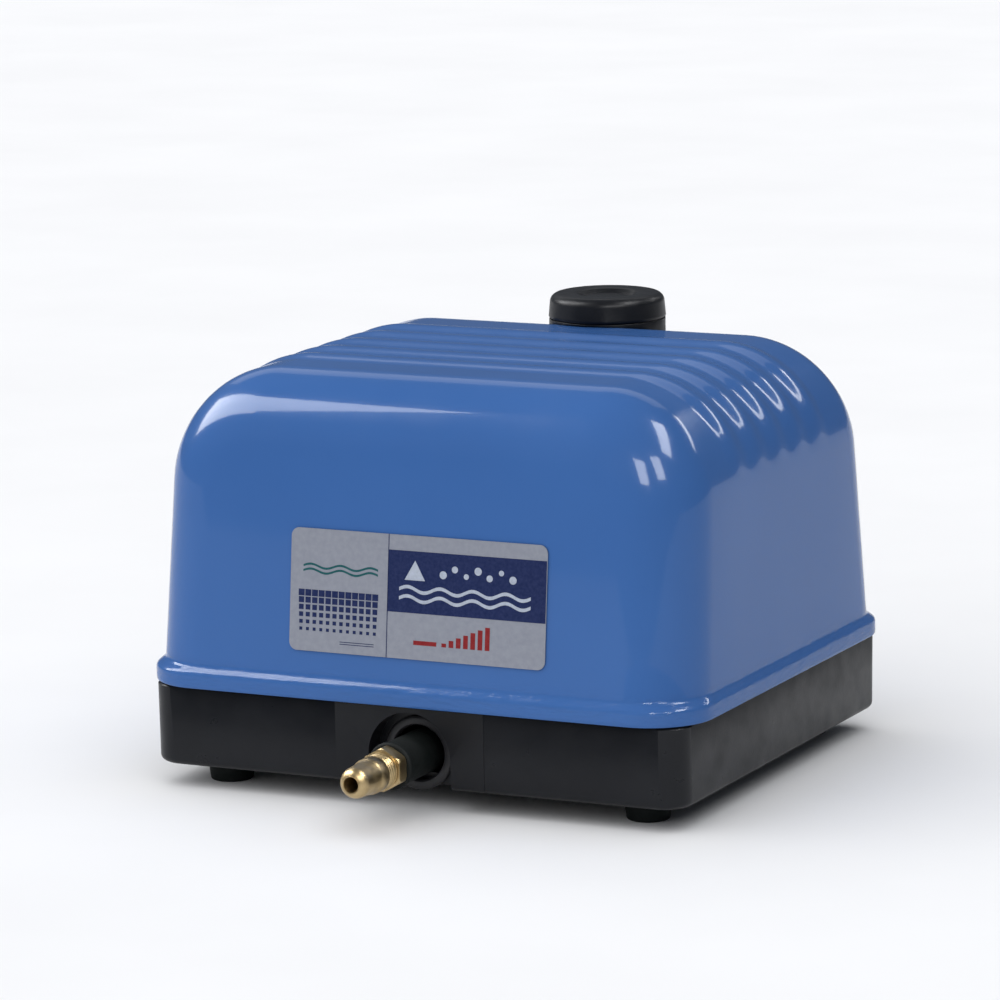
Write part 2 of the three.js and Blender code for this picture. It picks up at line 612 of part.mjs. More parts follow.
// ---- Air tank on its rubber mounts ----
function makeTank() {
  const { x, y, z, height, wall, lid, inlet } = TANK;
  const top = z + height;
  const block = slab(roundRect(2 * x, 2 * y, 6), z, top, 3);
  const hollow = slab(roundRect(2 * (x - wall), 2 * (y - wall), 4), z + wall, top + 1, 3);
  const outletZ = OUTLET.z + OUTLET.rise;
  const spigots = [[x - 1, x + 5], [-x - 5, 1 - x]].map(([from, to]) =>
    bar("x", from, to, SPIGOT.radius, [0, 0, z + inlet], SMALL_ROUND),
  );
  const outlet = bar("y", -y - 9, 1 - y, OUTLET.bore - 0.7, [0, 0, outletZ], SMALL_ROUND);
  const inletBore = bar("x", -x - 8, x + 8, SPIGOT.bore, [0, 0, z + inlet], 8);
  const outletBore = bar("y", -y - 10, 0, 2.4, [0, 0, outletZ], 8);
  const solidTank = join(cut(block, hollow), ...spigots, outlet);
  const body = cut(solidTank, inletBore, outletBore);
  const cover = slab(roundRect(2 * x, 2 * y, 6), top + GAP, top + GAP + lid, 3);
  const mountTop = z - TRAY_FLOOR - 2 * GAP;
  const mount = turned("z", [[0, 0], [7, 0], [7, 2], [5.4, 4.1], [7, 6.2], [7, mountTop], [0, mountTop]]);
  return [
    piece("air_tank", body, DIE_CAST),
    piece("air_tank_lid", cover, DIE_CAST),
    ...corners(TANK.mountX, TANK.mountY).map((place) => {
      const rubber = piece(`tank_mount_${place.name}`, mount, BLACK_RUBBER);
      rubber.position.set(place.x, place.y, TRAY_FLOOR + GAP);
      return rubber;
    }),
  ];
}

// ---- Motor: frame, stator cores and coils ----
const FRAME_Z = TANK.z + TANK.height + GAP + TANK.lid + GAP;

function makeMotorFrame() {
  const { plate, endX, endThick, halfY, top, z } = MOTOR;
  const base = box([-endX - endThick, endX + endThick], [-38, 38], [FRAME_Z, FRAME_Z + plate]);
  const parts = [-1, 1].flatMap((side) => {
    const [x0, x1] = side > 0 ? [endX, endX + endThick] : [-endX - endThick, -endX];
    const wall = box([x0, x1], [-halfY, halfY], [FRAME_Z + 1, top]);
    const hole = bar("x", x0 - 1, x1 + 1, 14.5, [0, 0, z]);
    const legs = [-1, 1].map((front) => {
      const xs = side > 0 ? [20, 30] : [-30, -20];
      const ys = front > 0 ? [27, 36] : [-36, -27];
      return box(xs, ys, [FRAME_Z + 1, z - CORE.halfZ - GAP]);
    });
    return [wall.subtract(hole), ...legs];
  });
  return piece("motor_frame", join(base, ...parts), DIE_CAST);
}

// One stator with its bobbin and coil, facing +Y from the back of the armature.
function makeStator(name, turn) {
  const { halfX, leg, outerLeg, tip, depth, halfZ } = CORE;
  const root = tip + depth - 10;
  const core = shapeOf([
    [-halfX, tip], [-halfX + outerLeg, tip], [-halfX + outerLeg, root],
    [-leg / 2, root], [-leg / 2, tip], [leg / 2, tip], [leg / 2, root],
    [halfX - outerLeg, root], [halfX - outerLeg, tip], [halfX, tip],
    [halfX, tip + depth], [-halfX, tip + depth],
  ]);
  const stator = new THREE.Group();
  const inner = [leg / 2 + GAP, halfZ + GAP];
  const hub = [inner[0] + 1.2, inner[1] + 1.2];
  const flange = [halfX - outerLeg - GAP, inner[1] + 12];
  const rectangle = ([x, z]) => shapeOf([[-x, -z], [x, -z], [x, z], [-x, z]]);
  const raised = (half, y0, y1) => runAlongY(rectangle(half), y0, y1);
  const hubBody = join(
    raised(hub, tip + 1.5, root - GAP),
    raised(flange, tip + 1.5, tip + 3),
    raised(flange, root - 1.8, root - GAP),
  );
  const bobbin = hubBody.subtract(raised(inner, tip, root));
  const winding = [flange[0] - 1.2, flange[1] - 1.2];
  const coilShape = roundRect(2 * winding[0], 2 * winding[1], 5);
  const coilHole = raised([hub[0] + GAP, hub[1] + GAP], tip, root);
  const coil = runAlongY(coilShape, tip + 3 + GAP, root - 1.8 - GAP, 4).subtract(coilHole);
  stator.add(piece(`stator_core_${name}`, slab(core, -halfZ, halfZ), CORE_STEEL));
  stator.add(piece(`bobbin_${name}`, bobbin, WHITE_NYLON));
  stator.add(piece(`coil_${name}`, coil, COPPER));
  stator.position.z = MOTOR.z;
  stator.rotation.z = turn;
  return stator;
}

// ---- Armature: the magnet bar and its clamped ends ----
const FACE_X = MOTOR.endX + MOTOR.endThick + GAP; // where the diaphragm lies on the frame's end
const DIAPHRAGM = 1.8;
const DELIVERY_Y = -6; // the head's delivery spigot, below the outlet flap

function makeArmature() {
  const { halfX, halfY, halfZ, magnetIn, magnetOut, frame } = ARMATURE;
  const windows = [[magnetIn, magnetOut], [-magnetOut, -magnetIn]].map((xs) =>
    box(xs, [-halfY - 1, halfY + 1], [-halfZ + frame, halfZ - frame]),
  );
  const bars = [
    [halfX - 1, FACE_X - 1.6, 6],
    [FACE_X - 2.6, FACE_X - GAP, 11],
    [FACE_X - 1, FACE_X + 10, 3],
  ];
  const ends = bars.flatMap(([from, to, radius]) => [
    bar("x", from, to, radius, [0, 0, 0], SMALL_ROUND),
    bar("x", -to, -from, radius, [0, 0, 0], SMALL_ROUND),
  ]);
  const beam = cut(box([-halfX, halfX], [-halfY, halfY], [-halfZ, halfZ]), ...windows);
  const magnetZ = halfZ - frame - GAP;
  const magnet = box([magnetIn + GAP, magnetOut - GAP], [-halfY, halfY], [-magnetZ, magnetZ]);
  const armature = new THREE.Group();
  armature.add(piece("armature", join(beam, ...ends), GREY_PLASTIC));
  armature.add(piece("magnet_right", magnet, MAGNET));
  const left = piece("magnet_left", magnet, MAGNET);
  left.rotation.z = Math.PI;
  armature.add(left);
  armature.position.z = MOTOR.z;
  return armature;
}

// ---- Pump head on the +X end: diaphragm, chamber, valve plate, flaps and cover ----
function makeHead(name, turn) {
  const head = new THREE.Group();
  const { radius, square, chamber, cover, valve, spigot } = HEAD;
  const chamberX = FACE_X + DIAPHRAGM + GAP;
  const valveX = chamberX + chamber + GAP;
  const coverX = valveX + valve + GAP;
  const rubber = turned("x", [
    [3.3, FACE_X], [12, FACE_X], [13, FACE_X + 0.2], [16, FACE_X + 2.2], [19, FACE_X + 0.2], [20, FACE_X],
    [25.5, FACE_X], [25.5, FACE_X + DIAPHRAGM], [20.5, FACE_X + DIAPHRAGM], [19, FACE_X + 2],
    [16, FACE_X + 4], [13, FACE_X + 2], [12, FACE_X + DIAPHRAGM], [3.3, FACE_X + DIAPHRAGM],
  ]);
  const clampX = FACE_X + DIAPHRAGM + GAP;
  const clampDisc = bar("x", clampX, clampX + 2, 11, [0, 0, 0], SMALL_ROUND);
  const nut = along("x", new THREE.CylinderGeometry(5.5, 5.5, 3.4, 6)).translate(clampX + 3.6, 0, 0);
  const studHole = bar("x", clampX - 1, clampX + 8, 3.3, [0, 0, 0], SMALL_ROUND);
  const clamp = join(clampDisc, solid(nut)).subtract(studHole);
  const plateOf = (x0, x1) => crossways(roundRect(2 * square, 2 * square, 6), x0, x1);
  const chamberBore = bar("x", chamberX - 1, chamberX + chamber + 1, radius);
  const body = plateOf(chamberX, chamberX + chamber).subtract(chamberBore);
  const port = (y) => bar("x", valveX - 1, valveX + valve + 1, 4, [0, y, 0], SMALL_ROUND);
  const plate = cut(plateOf(valveX, valveX + valve), port(FLAP.y), port(-FLAP.y));
  const pocket = (y) => box([coverX - 1, coverX + cover - 3], [y - 8, y + 8], [-12, 12]);
  const delivery = [coverX + spigot, DELIVERY_Y, 0];
  const deliverySpigot = bar("z", -square - 7, -square + 1, SPIGOT.radius, delivery, SMALL_ROUND);
  const deliveryBore = bar("z", -square - 8, -11, SPIGOT.bore, delivery, 8);
  const intake = [coverX + spigot, FLAP.y, 0];
  const intakeSpigot = bar("z", square - 1, square + 6, 4, intake, SMALL_ROUND);
  const intakeBore = bar("z", 11, square + 7, 2.6, intake, 8);
  const shell = join(plateOf(coverX, coverX + cover), deliverySpigot, intakeSpigot);
  const coverBody = cut(shell, pocket(-FLAP.y), pocket(FLAP.y), deliveryBore, intakeBore);
  const [flapY, flapZ] = [FLAP.width / 2, FLAP.height / 2];
  const tongue = box([0, FLAP.thick], [-flapY, flapY], [-flapZ, flapZ]);
  head.add(piece(`diaphragm_${name}`, rubber, BLACK_RUBBER));
  head.add(piece(`diaphragm_clamp_${name}`, clamp, ZINC));
  head.add(piece(`head_body_${name}`, body, DIE_CAST));
  head.add(piece(`valve_plate_${name}`, plate, DIE_CAST));
  head.add(piece(`head_cover_${name}`, coverBody, DIE_CAST));
  const intakeFlap = piece(`intake_flap_${name}`, tongue, CLEAR_RUBBER);
  intakeFlap.position.set(valveX - GAP - FLAP.thick, FLAP.y, 0);
  const outletFlap = piece(`outlet_flap_${name}`, tongue, CLEAR_RUBBER);
  outletFlap.position.set(valveX + valve + GAP, -FLAP.y, 0);
  head.add(intakeFlap, outletFlap, airTube(name, coverX + spigot));
  head.position.z = MOTOR.z;
  head.rotation.z = turn;
  return head;
}

// An outline drawn in Y and Z, run along X from x0 to x1.
function crossways(shape, x0, x1) {
  const options = { depth: x1 - x0, bevelEnabled: false, curveSegments: 3 };
  const turn = new THREE.Matrix4().makeBasis(v3(0, 1, 0), v3(0, 0, 1), v3(1, 0, 0));
  const geometry = new THREE.ExtrudeGeometry(shape, options).applyMatrix4(turn);
  return solid(geometry.translate(x0, 0, 0));
}

// The rubber tube from a head's cover down into the side of the tank.
function airTube(name, x) {
  const bottom = -HEAD.square - GAP;
  const tankZ = TANK.z + TANK.inlet - MOTOR.z;
  const points = [
    [x, DELIVERY_Y, bottom], [x, DELIVERY_Y, bottom - 6], [x, DELIVERY_Y + 1, bottom - 12],
    [x - 1.4, -1.8, bottom - 18], [x - 4.6, -0.3, tankZ + 0.4],
    [TANK.x + 5, 0, tankZ], [TANK.x + GAP, 0, tankZ],
  ];
  const outside = rodAlong(points, 4.7, 10, 10);
  const run = [[x, DELIVERY_Y, bottom + 1], ...points.slice(1, -1), [TANK.x - 1, 0, tankZ]];
  return piece(`air_tube_${name}`, outside.subtract(rodAlong(run, 3.5, 10, 8)), BLACK_RUBBER);
}

// ---- Wiring inside ----
function makeWiring() {
  const { x, y, halfX, halfY, height, pitch } = TERMINAL;
  const z = TRAY_FLOOR + GAP;
  const block = box([x - halfX, x + halfX], [y - halfY, y + halfY], [z, z + height]);
  const screws = [x - pitch, x, x + pitch].map((place) =>
    bar("z", z + height - 3, z + height + 1, 2, [place, y, 0], 8),
  );
  const coilTop = MOTOR.z + CORE.halfZ + 12;
  const lead = (name, start, points) => {
    const route = rodAlong([[start, y, z + height + 1.4], ...points], 1.3, 16, 8);
    return piece(`coil_lead_${name}`, route, LEAD_PVC);
  };
  const behind = [[36, 52, 70], [24, 46, coilTop - 6], [12, 36, coilTop + 4], [4, 24, coilTop + 1.6]];
  const front = [
    [66, 52, 60], [37, 40, 105], [34, 0, 112], [16, -22, coilTop + 6], [4, -24, coilTop + 1.6],
  ];
  return [
    piece("terminal_block", cut(block, ...screws), WHITE_NYLON),
    lead("rear", x - pitch, behind),
    lead("front", x, front),
  ];
}

// ---- The whole pump ----
const pump = new THREE.Group();
const REAR = CAP.y + CAP.radius;
pump.position.y = -(TAIL_TIP + REAR) / 2; // the origin is under the middle of the whole object
pump.add(makeTray(), makeHood(), ...makeBrackets(), makeGasket(), makeLabel());
pump.add(...makeFilter(), ...makeFeet(), ...makeOutlet(), makeGland());
pump.add(...makeTank(), makeMotorFrame(), makeArmature(), ...makeWiring());
pump.add(makeStator("rear", 0), makeStator("front", Math.PI));
pump.add(makeHead("right", 0), makeHead("left", Math.PI));

const object = new THREE.Group();
object.add(pump);
export default object;
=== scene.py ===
"""The looks of an electromagnetic diaphragm air pump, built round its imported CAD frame.

Metres, in the frame's own axes: +X is the pump's right, +Y its rear, +Z up from the floor.
The outer pieces and the coils are rebuilt here as fine meshes in the places of their CAD nodes,
and every other node keeps its own shape and gets its material.
"""
import math

import bmesh
import bpy
from mathutils import Matrix, Quaternion, Vector


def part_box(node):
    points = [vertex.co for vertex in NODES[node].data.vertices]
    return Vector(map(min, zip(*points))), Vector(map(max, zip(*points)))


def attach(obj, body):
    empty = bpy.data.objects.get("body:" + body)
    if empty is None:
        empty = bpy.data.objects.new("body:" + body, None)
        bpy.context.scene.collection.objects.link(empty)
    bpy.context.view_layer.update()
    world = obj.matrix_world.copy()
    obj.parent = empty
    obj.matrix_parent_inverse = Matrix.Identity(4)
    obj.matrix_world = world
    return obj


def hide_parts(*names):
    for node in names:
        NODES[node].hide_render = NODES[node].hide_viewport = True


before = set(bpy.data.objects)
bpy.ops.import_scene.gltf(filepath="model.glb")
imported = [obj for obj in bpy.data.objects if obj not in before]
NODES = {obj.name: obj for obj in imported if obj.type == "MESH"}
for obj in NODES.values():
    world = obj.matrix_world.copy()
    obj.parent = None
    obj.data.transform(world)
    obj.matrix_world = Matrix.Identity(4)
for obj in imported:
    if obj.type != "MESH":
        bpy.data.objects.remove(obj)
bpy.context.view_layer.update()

MM = 0.001
SIDES = ("left", "right")
CORNERS = ("front_left", "front_right", "rear_left", "rear_right")

# ---- Places read from the frame ----
HOOD_LOW, HOOD_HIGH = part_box("hood")
TRAY_LOW, TRAY_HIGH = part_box("base_tray")
LABEL_LOW, LABEL_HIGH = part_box("front_label")
CAP_LOW, CAP_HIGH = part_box("filter_cap")
TAIL_LOW, TAIL_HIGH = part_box("hose_tail")
HOSE_LOW, HOSE_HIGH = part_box("outlet_hose")
RING_LOW, RING_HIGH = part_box("outlet_ring")
GLAND_LOW, GLAND_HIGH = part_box("cable_gland")
MIDDLE_Y = (HOOD_LOW.y + HOOD_HIGH.y) / 2
LIP_X = HOOD_HIGH.x
LIP_Y = HOOD_HIGH.y - MIDDLE_Y
LIP_Z = HOOD_LOW.z
OUTLET_Z = (TAIL_LOW.z + TAIL_HIGH.z) / 2

# ---- Sizes of the pressed hood and the moulded tray ----
LIP_RADIUS = 23 * MM
LIP_STEP = 2.1 * MM
WALL_Z = LIP_Z + 8.7 * MM
STEEL = 1.0 * MM
RIB_HEIGHT = 1.1 * MM
RIB_PITCH = 18.4 * MM
RIB_COUNT = 5
HOOD_TOP = HOOD_HIGH.z - RIB_HEIGHT
SHOULDER = 41 * MM
EDGE = 25 * MM
DRAFT_X = 0.028
DRAFT_Y = 0.102
WALL_X = LIP_X - LIP_STEP
WALL_Y = LIP_Y - LIP_STEP
TRAY_INSET = 3.8 * MM
TRAY_TAPER = 0.2 * MM
TRAY_WALL = 3 * MM
TRAY_RIM = 3.2 * MM
TRAY_EDGE = 2.5 * MM
TRAY_RADIUS = 10 * MM
RIM_RADIUS = 16 * MM
NICHE_RADIUS = 16 * MM
NICHE_DEPTH = 8.5 * MM
PAD_HALF_WIDTH = 29 * MM
PAD_HEIGHT = 0.15 * MM
NICHE_WALL = 2.5 * MM
NICHE_HOLE = 9.9 * MM
NICHE_LEAD = 9 * MM
ARCH_BOTTOM = -20 * MM
TRAY_FOOT = TRAY_INSET + TRAY_TAPER
TRAY_FRONT = MIDDLE_Y - (LIP_Y - TRAY_FOOT)
NICHE_BACK = TRAY_FRONT + NICHE_DEPTH
BOSS_RADIUS = 5.5 * MM
SCREW_HOLE = 2.5 * MM
FOOT_RECESS = 4.8 * MM
FOOT_SEAT = 4.6 * MM

# ---- Sizes of the filter cap, the outlet and the gland ----
GAP = 0.3 * MM
EASE = 0.3 * MM
CAP_ROLL = 3.4 * MM
CAP_WALL = 1.9 * MM
SLEEVE_BORE = 5.3 * MM
FLANGE_WIDTH = 3.4 * MM
TAIL_BORE = 2.7 * MM
TAIL_STEM = 5 * MM
TAIL_NOSE = 3.9 * MM
BARB = 6.5 * MM
HEXAGON_LENGTH = 5.5 * MM
THREAD_COUNT = 3
THREAD_PITCH = 1.6 * MM
THREAD_START = 1.2 * MM
GLAND_BORE = 3.4 * MM
GLAND_NECK = 5.5 * MM
GLAND_FLANGE = 2.2 * MM

# ---- Camera ----
CAMERA_AZIMUTH = math.radians(25.55)
CAMERA_ELEVATION = math.radians(11.381)
CAMERA_ROLL = math.radians(-0.97)
CAMERA_DISTANCE = 1.973
CAMERA_PIVOT = Vector((0, MIDDLE_Y, 0.0635))
CAMERA_AIM = Vector((-0.0087, MIDDLE_Y + 0.0023, 0.0939))
CAMERA_LENS = 194.9


def make_camera():
    """A long lens from the front right, a little above the pump."""
    data = bpy.data.cameras.new("camera")
    camera = bpy.data.objects.new("camera", data)
    bpy.context.scene.collection.objects.link(camera)
    level = math.cos(CAMERA_ELEVATION)
    back = Vector((
        math.sin(CAMERA_AZIMUTH) * level,
        -math.cos(CAMERA_AZIMUTH) * level,
        math.sin(CAMERA_ELEVATION),
    ))
    camera.location = CAMERA_PIVOT + back * CAMERA_DISTANCE
    aim = (CAMERA_AIM - camera.location).to_track_quat("-Z", "Y")
    camera.rotation_mode = "QUATERNION"
    camera.rotation_quaternion = aim @ Quaternion((0, 0, 1), CAMERA_ROLL)
    data.sensor_width = 36
    data.lens = CAMERA_LENS
    data.clip_start = 0.05
    data.clip_end = 60
    bpy.context.scene.camera = camera


# ---- Studio ----
SUN_ENERGY = 3.3
SUN_SPREAD = math.radians(120)
SUN_DIRECTION = Vector((0.22, 0.32, -1))
WORLD_COLOUR = (0.80, 0.88, 1.0, 1)
WORLD_STRENGTH = 0.14
FLOOR_HALF = 9
SOFT_BOX_DISTANCE = 1.0


def make_soft_box(name, aim, direction, along, size, glow):
    """A soft box seen from a point in a direction, its long side turned to lie along another.

    Its size is (length, width) and its glow is how bright its face looks. It is only for
    reflections, and adds no diffuse light.
    """
    facing = Vector(direction).normalized()
    across = (Vector(along) - facing * facing.dot(Vector(along))).normalized()
    turn = Matrix((across, facing.cross(across), facing)).transposed()
    data = bpy.data.lights.new(name, "AREA")
    data.shape = "RECTANGLE"
    data.size, data.size_y = size
    data.energy = glow * math.pi * size[0] * size[1]
    light = bpy.data.objects.new(name, data)
    light.matrix_world = Matrix.Translation(aim + facing * SOFT_BOX_DISTANCE) @ turn.to_4x4()
    light.visible_diffuse = False
    bpy.context.scene.collection.objects.link(light)


def make_overhead():
    """Even light from above, the same all over the floor. It isn't seen in reflections."""
    data = bpy.data.lights.new("overhead", "SUN")
    data.energy = SUN_ENERGY
    data.angle = SUN_SPREAD
    sun = bpy.data.objects.new("overhead", data)
    sun.rotation_mode = "QUATERNION"
    sun.rotation_quaternion = SUN_DIRECTION.to_track_quat("-Z", "Y")
    sun.visible_glossy = False
    bpy.context.scene.collection.objects.link(sun)


def make_studio():
    """Even light from above, and soft boxes where the enamel shows their reflections."""
    world = bpy.data.worlds.new("studio")
    world.use_nodes = True
    background = world.node_tree.nodes["Background"]
    background.inputs["Color"].default_value = WORLD_COLOUR
    background.inputs["Strength"].default_value = WORLD_STRENGTH
    bpy.context.scene.world = world
    bpy.context.scene.view_settings.view_transform = "Standard"
    make_overhead()
    front_edge = Vector((-0.035, MIDDLE_Y - 0.082, 0.137))
    corner = Vector((0.088, MIDDLE_Y - 0.075, 0.13))
    ribs = Vector((0.095, MIDDLE_Y, 0.135))
    make_soft_box("key", front_edge, (-0.72, -0.12, 0.60), (0.49, -0.62, 0.49), (0.95, 0.42), 15)
    make_soft_box("window", corner, (0.55, 0.12, 0.82), (0.35, -0.45, -0.2), (0.62, 0.22), 22)
    make_soft_box("pane_left", corner, (0.37, -0.78, 0.51), (0, 0, 1), (0.34, 0.21), 20)
    make_soft_box("pane_right", corner, (0.66, -0.47, 0.59), (0, 0, 1), (0.34, 0.21), 20)
    make_soft_box("rear_right", ribs, (0.36, 0.79, 0.48), (0.38, -0.12, -0.09), (0.46, 0.07), 13)
    make_soft_box("rear_left", ribs, (-0.41, 0.68, 0.60), (1, 0, 0), (1.1, 0.3), 0.9)


def make_floor():
    mesh = bpy.data.meshes.new("floor")
    ends = ((-1, -1), (1, -1), (1, 1), (-1, 1))
    vertices = [(x * FLOOR_HALF, y * FLOOR_HALF, 0) for x, y in ends]
    mesh.from_pydata(vertices, [], [(0, 1, 2, 3)])
    floor = bpy.data.objects.new("floor", mesh)
    bpy.context.scene.collection.objects.link(floor)
    surface = Material("floor")
    surface.set(roughness=0.9, specular=0.0)
    grain = surface.noise(scale=6, detail=3)
    surface.link_color(surface.ramp(grain, (0.86, 0.86, 0.87), (0.89, 0.89, 0.90)))
    mesh.materials.append(surface.material)


# ---- Materials ----
class Material:
    """A Principled material with a few short ways of adding procedural detail."""

    def __init__(self, name):
        self.material = bpy.data.materials.new(name)
        self.material.use_nodes = True
        self.tree = self.material.node_tree
        self.shader = self.tree.nodes["Principled BSDF"]
        self.place = self.tree.nodes.new("ShaderNodeTexCoord").outputs["Object"]

    def add(self, kind, **settings):
        node = self.tree.nodes.new(kind)
        for name, value in settings.items():
            setattr(node, name, value)
        return node

    def link(self, output, socket):
        self.tree.links.new(output, socket)

    def set(self, roughness=None, metallic=None, coat=None, coat_roughness=None, specular=None):
        """Constants go straight on the shader's sockets."""
        values = {
            "Roughness": roughness,
            "Metallic": metallic,
            "Coat Weight": coat,
            "Coat Roughness": coat_roughness,
            "Specular IOR Level": specular,
        }
        for socket, value in values.items():
            if value is not None:
                self.shader.inputs[socket].default_value = value

    def stretched(self, scale):
        """The object's coordinates, scaled differently along each axis."""
        mapping = self.add("ShaderNodeMapping")
        mapping.inputs["Scale"].default_value = scale
        self.link(self.place, mapping.inputs["Vector"])
        return mapping.outputs["Vector"]

    def noise(self, scale, detail=4, at=None):
        node = self.add("ShaderNodeTexNoise")
        node.inputs["Scale"].default_value = scale
        node.inputs["Detail"].default_value = detail
        node.inputs["Roughness"].default_value = 0.55
        self.link(at or self.place, node.inputs["Vector"])
        return node.outputs["Fac"]

    def cells(self, scale):
        node = self.add("ShaderNodeTexVoronoi", feature="F1")
        node.inputs["Scale"].default_value = scale
        self.link(self.place, node.inputs["Vector"])
        return node.outputs["Distance"]

    def bands(self, scale, direction="Z", distortion=0.0):
        node = self.add("ShaderNodeTexWave", bands_direction=direction)
        node.inputs["Scale"].default_value = scale
        node.inputs["Distortion"].default_value = distortion
        self.link(self.place, node.inputs["Vector"])
        return node.outputs["Fac"]

    def ramp(self, value, low, high, start=0.3, end=0.7):
        """Turns a 0 to 1 value into a colour between low and high."""
        node = self.add("ShaderNodeValToRGB")
        node.color_ramp.elements[0].position = start
        node.color_ramp.elements[0].color = (*low, 1)
        node.color_ramp.elements[1].position = end
        node.color_ramp.elements[1].color = (*high, 1)
        self.link(value, node.inputs["Fac"])
        return node.outputs["Color"]

    def spread(self, value, low, high, start=0.3, end=0.7):
        """Turns a 0 to 1 value into a number between low and high."""
        node = self.add("ShaderNodeMapRange", clamp=True)
        node.inputs["From Min"].default_value = start
        node.inputs["From Max"].default_value = end
        node.inputs["To Min"].default_value = low
        node.inputs["To Max"].default_value = high
        self.link(value, node.inputs["Value"])
        return node.outputs["Result"]

    def link_color(self, output):
        self.link(output, self.shader.inputs["Base Color"])

    def link_roughness(self, output):
        self.link(output, self.shader.inputs["Roughness"])

    def height(self):
        """How high a point is above the floor, in metres."""
        node = self.add("ShaderNodeSeparateXYZ")
        self.link(self.place, node.inputs["Vector"])
        return node.outputs["Z"]

    def bump(self, height, strength, distance=0.0002):
        """Relief of a height; the strength is a number, or a share that varies from place to place."""
        node = self.add("ShaderNodeBump")
        if isinstance(strength, bpy.types.NodeSocket):
            self.link(strength, node.inputs["Strength"])
        else:
            node.inputs["Strength"].default_value = strength
        node.inputs["Distance"].default_value = distance
        self.link(height, node.inputs["Height"])
        previous = self.shader.inputs["Normal"].links
        if previous:
            self.link(previous[0].from_socket, node.inputs["Normal"])
        self.link(node.outputs["Normal"], self.shader.inputs["Normal"])


def blue_enamel():
    m = Material("blue_enamel")
    m.set(coat=0.26, coat_roughness=0.03, specular=0.07)
    m.link_color(m.ramp(m.noise(9, 3), (0.0425, 0.124, 0.352), (0.0495, 0.138, 0.380)))
    m.link_roughness(m.spread(m.noise(60, 4), 0.14, 0.24))
    m.bump(m.noise(420, 2), 0.10)
    m.bump(m.noise(45, 2), 0.08, 0.0006)
    runs = m.spread(m.height(), 0.9, 0.0, LIP_Z + 8 * MM, LIP_Z + 12 * MM)
    m.bump(m.noise(1, 3, at=m.stretched((70, 70, 260))), runs, 0.0010)
    return m.material


def black_moulding():
    m = Material("black_moulding")
    m.set(specular=0.24)
    m.link_color(m.ramp(m.noise(25, 4), (0.0048, 0.0056, 0.0080), (0.0085, 0.0095, 0.0125)))
    m.link_roughness(m.spread(m.noise(90, 5), 0.27, 0.42))
    m.bump(m.noise(900, 3), 0.12)
    m.bump(m.noise(30, 2), 0.04, 0.0008)
    return m.material


def cap_moulding():
    m = Material("cap_moulding")
    m.set(specular=0.16)
    m.link_color(m.ramp(m.noise(40, 4), (0.006, 0.0068, 0.009), (0.010, 0.011, 0.014)))
    m.link_roughness(m.spread(m.noise(120, 5), 0.3, 0.46))
    m.bump(m.noise(1400, 3), 0.15)
    return m.material


def black_rubber():
    m = Material("black_rubber")
    m.set(specular=0.16)
    m.link_color(m.ramp(m.noise(60, 5), (0.004, 0.006, 0.0058), (0.009, 0.012, 0.0118)))
    m.link_roughness(m.spread(m.noise(140, 5), 0.55, 0.8))
    m.bump(m.noise(1100, 3), 0.2)
    return m.material


def foam():
    m = Material("foam")
    m.set(roughness=0.95, specular=0.1)
    pores = m.cells(900)
    m.link_color(m.ramp(pores, (0.004, 0.004, 0.005), (0.05, 0.05, 0.055), 0.1, 0.6))
    m.bump(pores, 0.9, 0.0006)
    return m.material


def brass():
    m = Material("brass")
    m.set(metallic=1)
    tarnish = m.noise(160, 5)
    m.link_color(m.ramp(tarnish, (0.36, 0.26, 0.125), (0.58, 0.45, 0.25)))
    m.link_roughness(m.spread(m.noise(260, 4), 0.30, 0.46))
    turning = m.noise(1, 2, at=m.stretched((60, 4200, 60)))
    m.bump(turning, 0.12, 0.00012)
    return m.material


def label_foil():
    m = Material("label_foil")
    m.set(roughness=0.35, metallic=0.25, coat=0.3, coat_roughness=0.15)
    m.link_color(m.ramp(m.noise(500, 3), (0.245, 0.262, 0.315), (0.285, 0.302, 0.355)))
    m.bump(m.noise(1500, 2), 0.05)
    return m.material


def print_ink(name, colour):
    m = Material(name)
    m.set(roughness=0.4, specular=0.2)
    paler = tuple(min(1, c * 1.2 + 0.01) for c in colour)
    m.link_color(m.ramp(m.noise(900, 3), colour, paler))
    m.bump(m.noise(1800, 2), 0.05)
    return m.material


def zinc():
    m = Material("zinc")
    m.set(metallic=1)
    m.link_color(m.ramp(m.cells(260), (0.52, 0.53, 0.55), (0.72, 0.72, 0.70), 0.1, 0.6))
    m.link_roughness(m.spread(m.noise(180, 4), 0.25, 0.45))
    return m.material


def cast_aluminium():
    m = Material("cast_aluminium")
    m.set(metallic=1)
    m.link_color(m.ramp(m.noise(70, 5), (0.46, 0.47, 0.48), (0.64, 0.64, 0.65)))
    m.link_roughness(m.spread(m.noise(220, 5), 0.42, 0.62))
    m.bump(m.noise(800, 4), 0.25, 0.0003)
    return m.material


def laminations():
    m = Material("laminations")
    m.set(metallic=0.85)
    sheets = m.bands(320, "Z", 0.3)
    m.link_color(m.ramp(sheets, (0.10, 0.105, 0.115), (0.42, 0.44, 0.47)))
    m.link_roughness(m.spread(m.noise(150, 4), 0.4, 0.6))
    m.bump(sheets, 0.5, 0.0002)
    return m.material


def winding():
    m = Material("winding")
    m.set(metallic=0.8, coat=0.6, coat_roughness=0.12)
    m.link_color(m.ramp(m.noise(200, 4), (0.33, 0.10, 0.035), (0.55, 0.21, 0.07)))
    m.link_roughness(m.spread(m.noise(300, 3), 0.25, 0.4))
    return m.material


